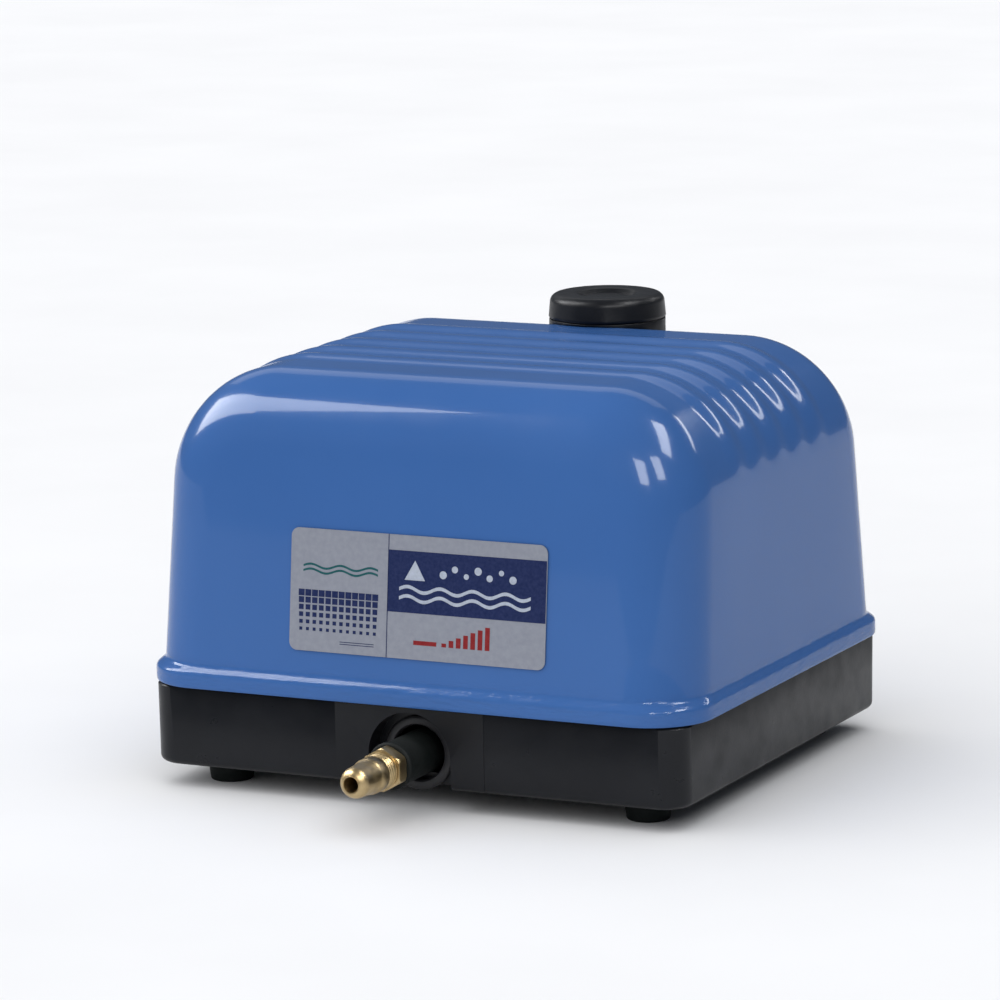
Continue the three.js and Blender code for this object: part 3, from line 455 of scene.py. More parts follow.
def ferrite():
    m = Material("ferrite")
    m.set(specular=0.4)
    m.link_color(m.ramp(m.noise(300, 5), (0.03, 0.03, 0.034), (0.075, 0.075, 0.08)))
    m.link_roughness(m.spread(m.noise(500, 4), 0.5, 0.7))
    m.bump(m.noise(900, 3), 0.2)
    return m.material


def plain_plastic(name, dark, light, roughness):
    m = Material(name)
    m.set(specular=0.45)
    m.link_color(m.ramp(m.noise(80, 4), dark, light))
    m.link_roughness(m.spread(m.noise(200, 4), roughness - 0.07, roughness + 0.08))
    m.bump(m.noise(900, 3), 0.1)
    return m.material


# ---- Mesh helpers ----
def add_object(name, mesh, material, smooth_angle=40):
    obj = bpy.data.objects.new(name, mesh)
    bpy.context.scene.collection.objects.link(obj)
    mesh.materials.clear()
    mesh.materials.append(material)
    mesh.shade_smooth()
    mesh.set_sharp_from_angle(angle=math.radians(smooth_angle))
    return obj


def mesh_from(name, vertices, faces):
    mesh = bpy.data.meshes.new(name)
    mesh.from_pydata([tuple(v) for v in vertices], [], faces)
    shape = bmesh.new()
    shape.from_mesh(mesh)
    bmesh.ops.remove_doubles(shape, verts=shape.verts, dist=1e-7)
    bmesh.ops.dissolve_degenerate(shape, edges=shape.edges, dist=1e-7)
    bmesh.ops.recalc_face_normals(shape, faces=shape.faces)
    shape.to_mesh(mesh)
    shape.free()
    return mesh


def apply_modifiers(obj):
    """Makes the modified shape the object's own mesh."""
    bpy.context.view_layer.update()
    evaluated = obj.evaluated_get(bpy.context.evaluated_depsgraph_get())
    mesh = bpy.data.meshes.new_from_object(evaluated)
    obj.modifiers.clear()
    obj.data = mesh


def cut(obj, tool, operation="DIFFERENCE"):
    """Cuts a tool's shape out of an object, or joins it on, and removes the tool."""
    modifier = obj.modifiers.new("cut", "BOOLEAN")
    modifier.operation = operation
    modifier.solver = "EXACT"
    modifier.object = tool
    apply_modifiers(obj)
    bpy.data.objects.remove(tool)


def round_edges(obj, width, segments=3, angle=35):
    """Takes the sharpness off every edge."""
    bevel = obj.modifiers.new("rounding", "BEVEL")
    bevel.width = width
    bevel.segments = segments
    bevel.limit_method = "ANGLE"
    bevel.angle_limit = math.radians(angle)
    bevel.harden_normals = False
    apply_modifiers(obj)
    obj.data.shade_smooth()
    obj.data.set_sharp_from_angle(angle=math.radians(angle))


AXIS_TURN = {
    "x": Matrix(((0, 0, 1), (1, 0, 0), (0, 1, 0))),
    "y": Matrix(((0, 1, 0), (0, 0, 1), (1, 0, 0))),
    "z": Matrix.Identity(3),
}


def turned(name, outline, axis, centre, material, sides=96, smooth_angle=40):
    """A turned piece: its outline is [radius, place along the axis] points."""
    turn = AXIS_TURN[axis]
    vertices = []
    for k in range(sides):
        angle = 2 * math.pi * k / sides
        for radius, place in outline:
            point = Vector((radius * math.cos(angle), radius * math.sin(angle), place))
            vertices.append(Vector(centre) + turn @ point)
    count = len(outline)
    faces = []
    for k in range(sides):
        following = (k + 1) % sides
        for i in range(count):
            j = (i + 1) % count
            faces.append((k * count + i, following * count + i, following * count + j, k * count + j))
    return add_object(name, mesh_from(name, vertices, faces), material, smooth_angle)


def cylinder(name, radius, axis, centre, low, high, material, sides=96):
    """A plain round bar, for cutting or joining on."""
    outline = [(0, low), (radius, low), (radius, high), (0, high)]
    return turned(name, outline, axis, centre, material, sides)


def arc(centre, radius, start, end, steps):
    """Points [x, y] on an arc between two angles in degrees."""
    points = []
    for k in range(steps + 1):
        angle = math.radians(start + (end - start) * k / steps)
        points.append((centre[0] + radius * math.cos(angle), centre[1] + radius * math.sin(angle)))
    return points


def box_outline(left, right, bottom, top):
    return [(left, bottom), (right, bottom), (right, top), (left, top)]


def extruded(name, outline, axis, low, high, material, smooth_angle=40):
    """A flat outline run along an axis. It is drawn in the other two axes, in order."""
    def point(a, b, c):
        return {"x": (c, a, b), "y": (a, c, b), "z": (a, b, c)}[axis]
    count = len(outline)
    vertices = [point(a, b, c) for c in (low, high) for a, b in outline]
    faces = [tuple(range(count)), tuple(range(2 * count - 1, count - 1, -1))]
    for i in range(count):
        j = (i + 1) % count
        faces.append((i, count + i, count + j, j))
    return add_object(name, mesh_from(name, vertices, faces), material, smooth_angle)


def lofted(name, rings, material, smooth_angle=40):
    """A closed skin over rings of equal point counts."""
    count = len(rings[0])
    vertices = [point for ring in rings for point in ring]
    last = (len(rings) - 1) * count
    faces = [tuple(reversed(range(count))), tuple(range(last, last + count))]
    for r in range(len(rings) - 1):
        for i in range(count):
            j = (i + 1) % count
            faces.append((r * count + i, r * count + j, (r + 1) * count + j, (r + 1) * count + i))
    return add_object(name, mesh_from(name, vertices, faces), material, smooth_angle)


def stand_for(obj, body, slot, *nodes):
    """The new piece rides on a body and hides its CAD nodes; its slot is not used."""
    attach(obj, body)
    if nodes:
        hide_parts(*nodes)


# ---- Hood ----
ARC_ROWS = 26
WALL_ROWS = 5
EDGE_COLUMNS = 14
RIB_COLUMNS = 14
HOOD_CREASE = 60


def smoothstep(low, high, value):
    share = min(1, max(0, (value - low) / (high - low)))
    return share * share * (3 - 2 * share)


def rib_height(y):
    """Each rib is one wave across the hood's length."""
    if abs(y) >= RIB_COUNT * RIB_PITCH / 2:
        return 0
    return RIB_HEIGHT * (1 + math.cos(2 * math.pi * y / RIB_PITCH)) / 2


def half_outline(inset):
    """The right half of the hood's cross-section: (x, z, outward angle) from the wall's foot up."""
    lean = math.atan(DRAFT_X)
    reach = SHOULDER - inset
    centre_z = HOOD_TOP - SHOULDER

    def wall_x(z):
        return WALL_X - DRAFT_X * (z - WALL_Z) - inset / math.cos(lean)

    tangent_z = centre_z + reach * math.sin(lean)
    centre_x = wall_x(tangent_z) - reach * math.cos(lean)
    points = []
    for k in range(WALL_ROWS):
        z = WALL_Z + (tangent_z - WALL_Z) * k / WALL_ROWS
        points.append((wall_x(z), z, lean))
    for k in range(ARC_ROWS + 1):
        angle = lean + (math.pi / 2 - lean) * k / ARC_ROWS
        points.append((centre_x + reach * math.cos(angle), centre_z + reach * math.sin(angle), angle))
    return points


def full_outline(inset):
    right = half_outline(inset)
    left = [(-x, z, math.pi - angle) for x, z, angle in right]
    return left + right[::-1]


def wall_y(z):
    return WALL_Y - DRAFT_Y * (z - WALL_Z)


def hood_columns():
    """The hood's cross-sections from front to back.

    Each has its inset from the full outline, its y at a height, its angle round the edge (none
    between the edges), its rib's height and its side: -1 at the front, 1 at the back.
    """
    columns = []
    for k in range(EDGE_COLUMNS + 1):
        phi = math.pi / 2 * k / EDGE_COLUMNS
        deep = EDGE * (1 - math.cos(phi))
        columns.append({
            "inset": EDGE * (1 - math.sin(phi)),
            "y": lambda z, deep=deep: deep - wall_y(z),
            "phi": phi,
            "rib": 0,
            "side": -1,
        })
    back = [dict(c, y=lambda z, front=c["y"]: -front(z), side=1) for c in reversed(columns)]
    half = RIB_COUNT * RIB_PITCH / 2
    steps = RIB_COUNT * RIB_COLUMNS
    for k in range(steps + 1):
        y = -half + 2 * half * k / steps
        columns.append({"inset": 0, "y": lambda z, y=y: y, "phi": None, "rib": rib_height(y), "side": 0})
    return columns + back


def lip_point(column, side, z, out=0.0):
    """The lip's outline beside a cross-section, on the left (-1) or right (1) side."""
    half_x, half_y, radius = LIP_X - out, LIP_Y - out, LIP_RADIUS - out
    if column["phi"] is None:
        return Vector((side * half_x, column["y"](z), z))
    x = half_x - radius * (1 - math.sin(column["phi"]))
    y = half_y - radius * (1 - math.cos(column["phi"]))
    return Vector((side * x, column["side"] * y, z))


# The lip from its bottom edge to the foot of the walls: (share of the way in, height above the
# bottom in mm, how far inside the outline in mm). The band rolls over into a slope up to the wall.
LIP_PROFILE = [
    (0, 0.0, 0.3), (0, 0.35, 0.05), (0, 1.2, 0.0), (0, 3.0, 0.0), (0, 4.6, 0.02), (0, 5.1, 0.12),
    (0.08, 5.55, 0.1), (0.22, 5.95, 0.05), (0.45, 6.5, 0.0), (0.7, 7.1, 0.0), (0.87, 7.55, 0.0),
    (0.97, 8.1, 0.0),
]

# A rib fades in up the shoulder, between these sines of the outward angle.
RIB_FADE = (0.10, 0.62)


def hood_skin(columns):
    """Points over each cross-section, the faces between them, and each section's point numbers."""
    vertices, faces, grid = [], [], []
    for column in columns:
        row = []
        for x, z, angle in full_outline(column["inset"]):
            rise = column["rib"] * smoothstep(*RIB_FADE, math.sin(angle))
            row.append(len(vertices))
            out, up = rise * math.cos(angle), rise * math.sin(angle)
            vertices.append(Vector((x + out, column["y"](z), z + up)))
        grid.append(row)
    rows = len(grid[0])
    for a, b in zip(grid, grid[1:]):
        for r in range(rows - 1):
            faces.append((a[r], a[r + 1], b[r + 1], b[r]))
    for end in (grid[0], grid[-1]):
        for r in range(rows // 2 - 1):
            faces.append((end[r], end[r + 1], end[rows - 2 - r], end[rows - 1 - r]))
    return vertices, faces, grid


def add_lip(columns, vertices, faces, grid):
    """Rings from the foot of the walls, out and down to the lip's lower edge."""
    around = [(column, -1, row[0]) for column, row in zip(columns, grid)]
    around += [(column, 1, row[-1]) for column, row in reversed(list(zip(columns, grid)))]
    above = [foot for _, _, foot in around]
    for share, height, out in reversed(LIP_PROFILE):
        ring = []
        for column, side, foot in around:
            place = lip_point(column, side, LIP_Z + height * MM, out * MM)
            target = vertices[foot]
            ring.append(len(vertices))
            x = place.x + (target.x - place.x) * share
            y = place.y + (target.y - place.y) * share
            vertices.append(Vector((x, y, place.z)))
        for k in range(len(ring)):
            following = (k + 1) % len(ring)
            faces.append((above[k], above[following], ring[following], ring[k]))
        above = ring


def make_hood():
    columns = hood_columns()
    vertices, faces, grid = hood_skin(columns)
    add_lip(columns, vertices, faces, grid)
    shifted = [vertex + Vector((0, MIDDLE_Y, 0)) for vertex in vertices]
    hood = add_object("hood_shell", mesh_from("hood_shell", shifted, faces), BLUE, HOOD_CREASE)
    solid = hood.modifiers.new("steel", "SOLIDIFY")
    solid.thickness = STEEL
    solid.offset = -1
    solid.use_even_offset = True
    apply_modifiers(hood)
    hood.data.shade_smooth()
    hood.data.set_sharp_from_angle(angle=math.radians(HOOD_CREASE))
    stand_for(hood, "hood", "blue_enamel", "hood")


# ---- Tray ----
def quarters(steps):
    """Goes round a rectangle's four corners: (side in x, side in y, unit x, unit y) at each point."""
    for quarter, (side_x, side_y) in enumerate(((1, 1), (-1, 1), (-1, -1), (1, -1))):
        for x, y in arc((0, 0), 1, 90 * quarter, 90 * (quarter + 1), steps):
            yield side_x, side_y, x, y


def tray_ring(inset, z, radius, steps=12):
    """A round-cornered rectangle at one height, its sides inset from the lip's outline."""
    straight_x, straight_y = LIP_X - inset - radius, LIP_Y - inset - radius
    ring = []
    for side_x, side_y, x, y in quarters(steps):
        place_x, place_y = side_x * straight_x + radius * x, side_y * straight_y + radius * y
        ring.append(Vector((place_x, MIDDLE_Y + place_y, z)))
    return ring


def tray_wall_rings(out=0.0):
    """The outside of the tray's wall, from its rolled lower edge to the rim inside the lip."""
    foot = TRAY_FOOT - out
    rings = []
    for degrees in (90, 72, 54, 36, 18, 0):
        angle = math.radians(degrees)
        step_in, step_up = TRAY_EDGE * (1 - math.cos(angle)), TRAY_EDGE * (1 - math.sin(angle))
        rings.append(tray_ring(foot + step_in, TRAY_LOW.z + step_up, TRAY_RADIUS - 0.6 * step_in))
    rings.append(tray_ring(TRAY_INSET - out, LIP_Z - 1.0 * MM, TRAY_RADIUS))
    rings.append(tray_ring(TRAY_INSET - out + 0.3 * MM, LIP_Z - 0.5 * MM, TRAY_RADIUS + 0.4 * MM))
    return rings


def arch_outline(radius):
    """An arch over the outlet with straight legs down below the floor, drawn in X and Z."""
    return [(-radius, ARCH_BOTTOM), (radius, ARCH_BOTTOM)] + arc((0, OUTLET_Z), radius, 0, 180, 40)


def tray_outside():
    """The tray as one block, with a flat pad round the niche that stands a little proud."""
    outer = tray_wall_rings()
    outer.append(tray_ring(TRAY_INSET, LIP_Z - GAP, RIM_RADIUS))
    outer.append(tray_ring(TRAY_INSET, LIP_Z + TRAY_RIM, RIM_RADIUS))
    tray = lofted("tray_shell", outer, BLACK)
    outline = box_outline(-PAD_HALF_WIDTH, PAD_HALF_WIDTH, TRAY_LOW.z - MM, LIP_Z - MM)
    pad = extruded("pad", outline, "y", TRAY_FRONT - 6 * MM, TRAY_FRONT + MM, BLACK)
    cut(pad, lofted("limit", tray_wall_rings(PAD_HEIGHT), BLACK), "INTERSECT")
    cut(tray, pad, "UNION")
    return tray


def tray_inside():
    """The tray's hollow, less the shell that stays round the niche."""
    radius, floor_z = TRAY_RADIUS - TRAY_WALL, TRAY_LOW.z + TRAY_WALL
    rim_radius, wall = RIM_RADIUS - TRAY_WALL, TRAY_INSET + TRAY_WALL
    inner = lofted("inside", [
        tray_ring(TRAY_FOOT + TRAY_WALL + 1.5 * MM, floor_z, radius),
        tray_ring(TRAY_FOOT + TRAY_WALL, floor_z + 2 * MM, radius),
        tray_ring(wall, LIP_Z - 7 * MM, radius),
        tray_ring(wall, LIP_Z - 0.6 * MM, rim_radius),
        tray_ring(wall, LIP_Z + TRAY_RIM + MM, rim_radius),
    ], BLACK)
    shell = arch_outline(NICHE_RADIUS + NICHE_WALL)
    low, high = TRAY_FRONT - NICHE_LEAD, NICHE_BACK + NICHE_WALL
    cut(inner, extruded("niche_shell", shell, "y", low, high, BLACK))
    return inner


def add_boss(tray, corner):
    """A boss for one of the hood's screws, joined on and bored through."""
    low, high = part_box("hood_screw_" + corner)
    centre = ((low.x + high.x) / 2, (low.y + high.y) / 2, 0)
    bottom, top = TRAY_LOW.z + MM, TRAY_HIGH.z
    cut(tray, cylinder("boss", BOSS_RADIUS, "z", centre, bottom, top, BLACK, 40), "UNION")
    cut(tray, cylinder("bore", SCREW_HOLE, "z", centre, 0, top + MM, BLACK, 24))


def make_tray():
    tray = tray_outside()
    cut(tray, tray_inside())
    arch = arch_outline(NICHE_RADIUS)
    cut(tray, extruded("niche", arch, "y", TRAY_FRONT - NICHE_LEAD, NICHE_BACK, BLACK))
    low, high = NICHE_BACK - 2 * MM, NICHE_BACK + 4 * MM
    cut(tray, cylinder("hole", NICHE_HOLE, "y", (0, 0, OUTLET_Z), low, high, BLACK))
    rear = MIDDLE_Y + LIP_Y
    cut(tray, cylinder("slot", GLAND_NECK + GAP, "y", gland_centre(), rear - 20 * MM, rear, BLACK))
    for corner in CORNERS:
        add_boss(tray, corner)
    round_edges(tray, 0.6 * MM, 3, 40)
    stand_for(tray, "root", "black_plastic", "base_tray")


def make_feet():
    """Rubber feet with a rolled lower edge and a deep hole for the screw's head."""
    for name in CORNERS:
        low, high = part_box("foot_" + name)
        centre = ((low.x + high.x) / 2, (low.y + high.y) / 2, 0)
        radius, top, roll = (high.x - low.x) / 2, high.z, 0.9 * MM
        outline = [(SCREW_HOLE, FOOT_SEAT), (FOOT_RECESS - EASE, FOOT_SEAT)]
        outline += [(FOOT_RECESS, FOOT_SEAT - EASE), (FOOT_RECESS, 0.4 * MM), (FOOT_RECESS + EASE, 0)]
        outline += arc((radius - 1.4 * MM, roll), roll, -90, 0, 6)
        outline += [(radius - 0.15 * MM, 3.5 * MM), (radius, top - 0.4 * MM)]
        outline += [(radius - 0.4 * MM, top), (SCREW_HOLE, top)]
        foot = turned("rubber_foot_" + name, outline, "z", centre, RUBBER, 72)
        stand_for(foot, "root", "black_rubber", "foot_" + name)


# ---- Filter ----
# The top of the cap from its middle out: (radius, depth below the highest point), in mm.
CAP_DISH = [
    (0.001, 1.45), (5, 1.4), (7.4, 1.5), (8.6, 1.75), (9.4, 1.9), (10.1, 1.5), (10.8, 0.65),
    (11.6, 0.22), (13, 0.04), (15, 0),
]


def make_filter_cap():
    """A round cap with a rolled edge and a shallow dish that is deepest near its rim."""
    radius = (CAP_HIGH.x - CAP_LOW.x) / 2
    low, high, centre_y = CAP_LOW.z, CAP_HIGH.z, (CAP_LOW.y + CAP_HIGH.y) / 2
    under = high - 3.95 * MM
    outline = [(r * MM, high - depth * MM) for r, depth in CAP_DISH]
    outline += arc((radius - CAP_ROLL - 0.5 * MM, high - CAP_ROLL), CAP_ROLL, 88, 4, 14)
    outline += [(radius - 0.1 * MM, low + 1.2 * MM), (radius, low + 0.5 * MM), (radius - 0.4 * MM, low)]
    outline += [(radius - CAP_WALL + EASE, low), (radius - CAP_WALL, low + 0.4 * MM)]
    outline += [(radius - 2.4 * MM, high - 4.2 * MM), (radius - 4.2 * MM, under), (0.001 * MM, under)]
    cap = turned("filter_lid", outline, "z", (0, centre_y, 0), CAP_BLACK, 128, smooth_angle=50)
    stand_for(cap, "filter_cap", "black_plastic", "filter_cap")


# ---- Outlet ----
def make_sleeve():
    """A finer end for the outlet hose, with a rolled collar. The bend behind it is the hose's own."""
    face, collar = HOSE_LOW.y, (HOSE_HIGH.x - HOSE_LOW.x) / 2
    body, end = collar - 0.5 * MM, RING_HIGH.y - 2 * MM
    outline = [(SLEEVE_BORE, face + 0.1 * MM), (collar - 0.8 * MM, face + 0.1 * MM)]
    outline += arc((collar - 0.9 * MM, face + 1.0 * MM), 0.9 * MM, -80, 0, 6)
    outline += arc((collar - 0.7 * MM, face + 2.2 * MM), 0.7 * MM, 0, 80, 5)
    outline += [(body, face + 3.4 * MM), (body, end), (SLEEVE_BORE, end)]
    sleeve = turned("outlet_sleeve", outline, "y", (0, 0, OUTLET_Z), RUBBER, 96)
    stand_for(sleeve, "root", "black_rubber")


def make_flange():
    """The ring round the sleeve on the niche's back wall, its front edges eased."""
    middle, radius = (RING_LOW.x + RING_HIGH.x) / 2, (RING_HIGH.x - RING_LOW.x) / 2
    front, back = RING_LOW.y, RING_HIGH.y
    inner = radius - FLANGE_WIDTH
    outline = [(inner, back), (inner, front + 0.6 * MM), (inner + 0.5 * MM, front + 0.05 * MM)]
    outline += [(inner + 1.2 * MM, front), (radius - MM, front), (radius - 0.4 * MM, front + 0.2 * MM)]
    outline += [(radius, front + 0.7 * MM), (radius, back)]
    ring = turned("outlet_flange", outline, "y", (middle, 0, OUTLET_Z), RING_BLACK, 96)
    stand_for(ring, "root", "black_plastic", "outlet_ring")


def tail_outline(tip, front):
    """The tail's half outline from its bore at the tip, along the outside, to the stem's end."""
    end = TAIL_HIGH.y
    outline = [(TAIL_BORE, tip + 0.5 * MM), (TAIL_BORE + 0.15 * MM, tip + 0.15 * MM)]
    outline += [(TAIL_BORE + 0.5 * MM, tip)]
    outline += arc((BARB - 4.9 * MM, tip + TAIL_NOSE), TAIL_NOSE, -66, -4, 14)
    outline += [(5.75 * MM, tip + 8 * MM), (6.0 * MM, tip + 12.2 * MM), (6.15 * MM, tip + 12.6 * MM)]
    outline += [(6.4 * MM, tip + 13.2 * MM), (BARB, tip + 17.2 * MM), (BARB - 0.2 * MM, tip + 17.6 * MM)]
    for ring in reversed(range(THREAD_COUNT)):
        start = front - THREAD_START - THREAD_PITCH * ring
        outline += [(5.7 * MM, start - 1.35 * MM), (6.25 * MM, start - MM), (6.4 * MM, start - 0.65 * MM)]
        outline += [(6.25 * MM, start - 0.3 * MM), (5.7 * MM, start)]
    outline += [(BARB, front - 0.9 * MM), (BARB, front + 0.5 * MM), (TAIL_STEM, front + MM)]
    outline += [(TAIL_STEM, end - 0.6 * MM), (TAIL_STEM - 0.4 * MM, end), (TAIL_BORE, end)]
    return outline


def make_hexagon(front, back):
    """The spanner hexagon, chamfered at both ends and drilled for the stem."""
    flat = (TAIL_HIGH.x - TAIL_LOW.x) / 2
    widest = (TAIL_HIGH.z - TAIL_LOW.z) / 2
    centre = (0, 0, OUTLET_Z)
    radius = flat / math.cos(math.pi / 6)
    angles = [math.pi * (2 * k + 1) / 6 for k in range(6)]
    corners = [(radius * math.cos(angle), OUTLET_Z + radius * math.sin(angle)) for angle in angles]
    nut = extruded("brass_hexagon", corners, "y", front, back, BRASS)
    end, rise, past = flat + 0.4 * MM, 0.7 * MM, 0.01 * MM
    outline = [(0, front - MM), (end, front - past), (widest, front + rise)]
    outline += [(widest, back - rise), (end, back + past), (0, back + MM)]
    cut(nut, turned("chamfer", outline, "y", centre, BRASS, 96), "INTERSECT")
    low, high = front - 2 * MM, back + 2 * MM
    cut(nut, cylinder("drill", TAIL_STEM - 0.5 * MM, "y", centre, low, high, BRASS, 48))
    round_edges(nut, 0.25 * MM, 2, 25)
    return nut


def make_hose_tail():
    """Brass: a hexagon, fine rings, and a barb that rounds over to a blunt nose with a bore."""
    back = HOSE_LOW.y - GAP
    front = back - HEXAGON_LENGTH
    outline = tail_outline(TAIL_LOW.y, front)
    tail = turned("brass_tail", outline, "y", (0, 0, OUTLET_Z), BRASS, 96, smooth_angle=30)
    nut = make_hexagon(front, back)
    stand_for(tail, "root", "brass", "hose_tail")
    stand_for(nut, "root", "brass")


def gland_centre():
    return ((GLAND_LOW.x + GLAND_HIGH.x) / 2, 0, (GLAND_LOW.z + GLAND_HIGH.z) / 2)


def make_gland():
    """A rubber grommet: a thin flange inside the wall and a rounded one outside."""
    collar, start, end = (GLAND_HIGH.x - GLAND_LOW.x) / 2, GLAND_LOW.y, GLAND_HIGH.y
    flange = start + GLAND_FLANGE
    outline = [(GLAND_BORE, start), (collar - EASE, start), (collar, start + EASE)]
    outline += [(collar, flange - EASE), (collar - EASE, flange), (GLAND_NECK, flange)]
    outline += [(GLAND_NECK, end - 3.6 * MM), (collar - EASE, end - 3.6 * MM)]
    outline += [(collar, end - 3.3 * MM), (collar, end - 2.5 * MM)]
    outline += arc((collar - GLAND_FLANGE, end - GLAND_FLANGE), GLAND_FLANGE, 0, 90, 8)
    outline += [(GLAND_BORE + 0.4 * MM, end), (GLAND_BORE, end - 0.4 * MM)]
    gland = turned("lead_grommet", outline, "y", gland_centre(), RUBBER, 64)
    stand_for(gland, "root", "black_rubber", "cable_gland")


# ---- Label ----
LABEL_CORNER = 3 * MM
LABEL_BACK = -0.12 * MM
LABEL_FACE = 0.2 * MM
INK_THICKNESS = 0.05 * MM
INK_STEP = 0.04 * MM


class Label:
    """The front label: a plate that leans with the wall, and thin printed shapes on it."""

    def __init__(self):
        self.width = LABEL_HIGH.x - LABEL_LOW.x
        lean = math.atan(DRAFT_Y)
        self.height = (LABEL_HIGH.z - LABEL_LOW.z) / math.cos(lean)
        middle = (LABEL_LOW + LABEL_HIGH) / 2
        across, up = Vector((1, 0, 0)), Vector((0, math.sin(lean), math.cos(lean)))
        out = across.cross(up)
        self.matrix = Matrix.Translation(middle) @ Matrix((across, up, out)).transposed().to_4x4()

    def shape(self, outline, low, high):
        """A thin slab over an outline given in shares of the label's width and height."""
        points = [((u - 0.5) * self.width, (v - 0.5) * self.height) for u, v in outline]
        count = len(points)
        vertices = [self.matrix @ Vector((x, y, z)) for z in (low, high) for x, y in points]
        faces = [tuple(reversed(range(count))), tuple(range(count, 2 * count))]
        faces += [(i, (i + 1) % count, count + (i + 1) % count, count + i) for i in range(count)]
        return vertices, faces

    def printed(self, name, outlines, material, slot, level=0):
        """One ink: every shape of one colour as a single piece."""
        face = LABEL_FACE + level * INK_STEP
        vertices, faces = [], []
        for outline in outlines:
            start = len(vertices)
            more, sides = self.shape(outline, face, face + INK_THICKNESS)
            vertices += more
            faces += [tuple(start + i for i in side) for side in sides]
        stand_for(add_object(name, mesh_from(name, vertices, faces), material), "hood", slot)


def disc_outline(u, v, radius, squash, steps=28):
    """A disc in label shares; squash is the label's width over its height."""
    points = []
    for k in range(steps):
        angle = 2 * math.pi * k / steps
        points.append((u + radius * math.cos(angle), v + radius * squash * math.sin(angle)))
    return points


def wave_outline(left, right, middle, swing, thickness, waves, steps=60):
    """A ribbon that follows a sine wave."""
    def at(k, side):
        share = k / steps
        u = left + (right - left) * share
        return u, middle + swing * math.sin(2 * math.pi * waves * share) + side * thickness / 2
    return [at(k, -1) for k in range(steps + 1)] + [at(k, 1) for k in range(steps, -1, -1)]


# The places of the printed shapes, in shares of the label's width and height.
DIVIDER = 0.385
DIVIDER_HALF = 0.0015
BAND = (0.375, 0.875)
DOT_COLUMNS = 12
DOT_ROWS = 6
DOT_FIRST = (0.045, 0.475)
DOT_PITCH = (0.0265, 0.059)
DOT_HALF = 0.0118
DOT_SHRINK = 0.0012


def make_plate(label):
    half_x, half_y = label.width / 2, label.height / 2
    outline = []
    for side_x, side_y, unit_x, unit_y in quarters(10):
        x = side_x * (half_x - LABEL_CORNER) + LABEL_CORNER * unit_x
        y = side_y * (half_y - LABEL_CORNER) + LABEL_CORNER * unit_y
        outline.append((x / label.width + 0.5, y / label.height + 0.5))
    vertices, faces = label.shape(outline, LABEL_BACK, LABEL_FACE)
    plate = add_object("label_plate", mesh_from("label_plate", vertices, faces), FOIL)
    stand_for(plate, "hood", "label_foil", "front_label")


def navy_shapes(aspect):
    """Rows of squares that get smaller downwards, the divider, two rules and the band."""
    shapes = []
    for row in range(DOT_ROWS):
        half = DOT_HALF - DOT_SHRINK * row
        for column in range(DOT_COLUMNS):
            u = DOT_FIRST[0] + DOT_PITCH[0] * column
            v = DOT_FIRST[1] - DOT_PITCH[1] * row
            shapes.append(box_outline(u - half, u + half, v - half * aspect, v + half * aspect))
    shapes.append(box_outline(DIVIDER - DIVIDER_HALF, DIVIDER + DIVIDER_HALF, 0.0, 1.0))
    for k in range(2):
        shapes.append(box_outline(0.20, 0.335, 0.09 - 0.018 * k, 0.096 - 0.018 * k))
    shapes.append(box_outline(DIVIDER, 0.998, *BAND))
    return shapes


def white_shapes(aspect):
    """A row of bubbles, two waves and a triangle, all on the band."""
    shapes = []
    for k in range(7):
        radius = 0.014 - 0.002 * (k % 3)
        shapes.append(disc_outline(0.60 + 0.045 * k, 0.70 + 0.05 * (k % 2), radius, aspect))
    for k in range(2):
        shapes.append(wave_outline(0.43, 0.94, 0.565 - 0.075 * k, 0.022, 0.028, 4))
    shapes.append([(0.45, 0.64), (0.53, 0.64), (0.49, 0.80)])
    return shapes


def red_shapes():
    """Seven rising bars and a block beside them, under the band."""
    shapes = []
    for k in range(7):
        shapes.append(box_outline(0.60 + 0.028 * k, 0.618 + 0.028 * k, 0.12, 0.15 + 0.026 * k))
    shapes.append(box_outline(0.49, 0.58, 0.12, 0.155))
    return shapes


def teal_shapes():
    """Two waves, left of the divider."""
    return [wave_outline(0.05, 0.345, 0.655 + 0.04 * k, 0.016, 0.018, 2.5) for k in range(2)]


def make_label():
    label = Label()
    aspect = label.width / label.height
    make_plate(label)
    label.printed("label_navy", navy_shapes(aspect), NAVY, "label_foil")
    label.printed("label_white", white_shapes(aspect), WHITE, "label_foil", 1)
    label.printed("label_red", red_shapes(), RED, "label_foil")
    label.printed("label_teal", teal_shapes(), TEAL, "label_foil")


# ---- Inside ----
def soften(node, width, segments=2):
    """Small rounded edges on a CAD node, without touching its mesh."""
    obj = NODES[node]
    weld = obj.modifiers.new("weld", "WELD")
    weld.merge_threshold = 0.01 * MM
    bevel = obj.modifiers.new("rounding", "BEVEL")
    bevel.width = width
    bevel.segments = segments
    bevel.limit_method = "ANGLE"
    bevel.angle_limit = math.radians(40)
    obj.data.shade_smooth()


def dress(material, *nodes, rounding=0.0):
    """Gives CAD nodes a material and, where it suits them, rounded edges."""
    for node in nodes:
        obj = NODES[node]
        obj.data.materials.clear()
        obj.data.materials.append(material)
        if rounding:
            soften(node, rounding)


COIL_TURNS = 17
COIL_CORNER = 7 * MM
COIL_CREASE = 60
RINGS_PER_TURN = 6
CORE_HALF_WIDTH = 7.8 * MM
CORE_HALF_HEIGHT = 13.8 * MM


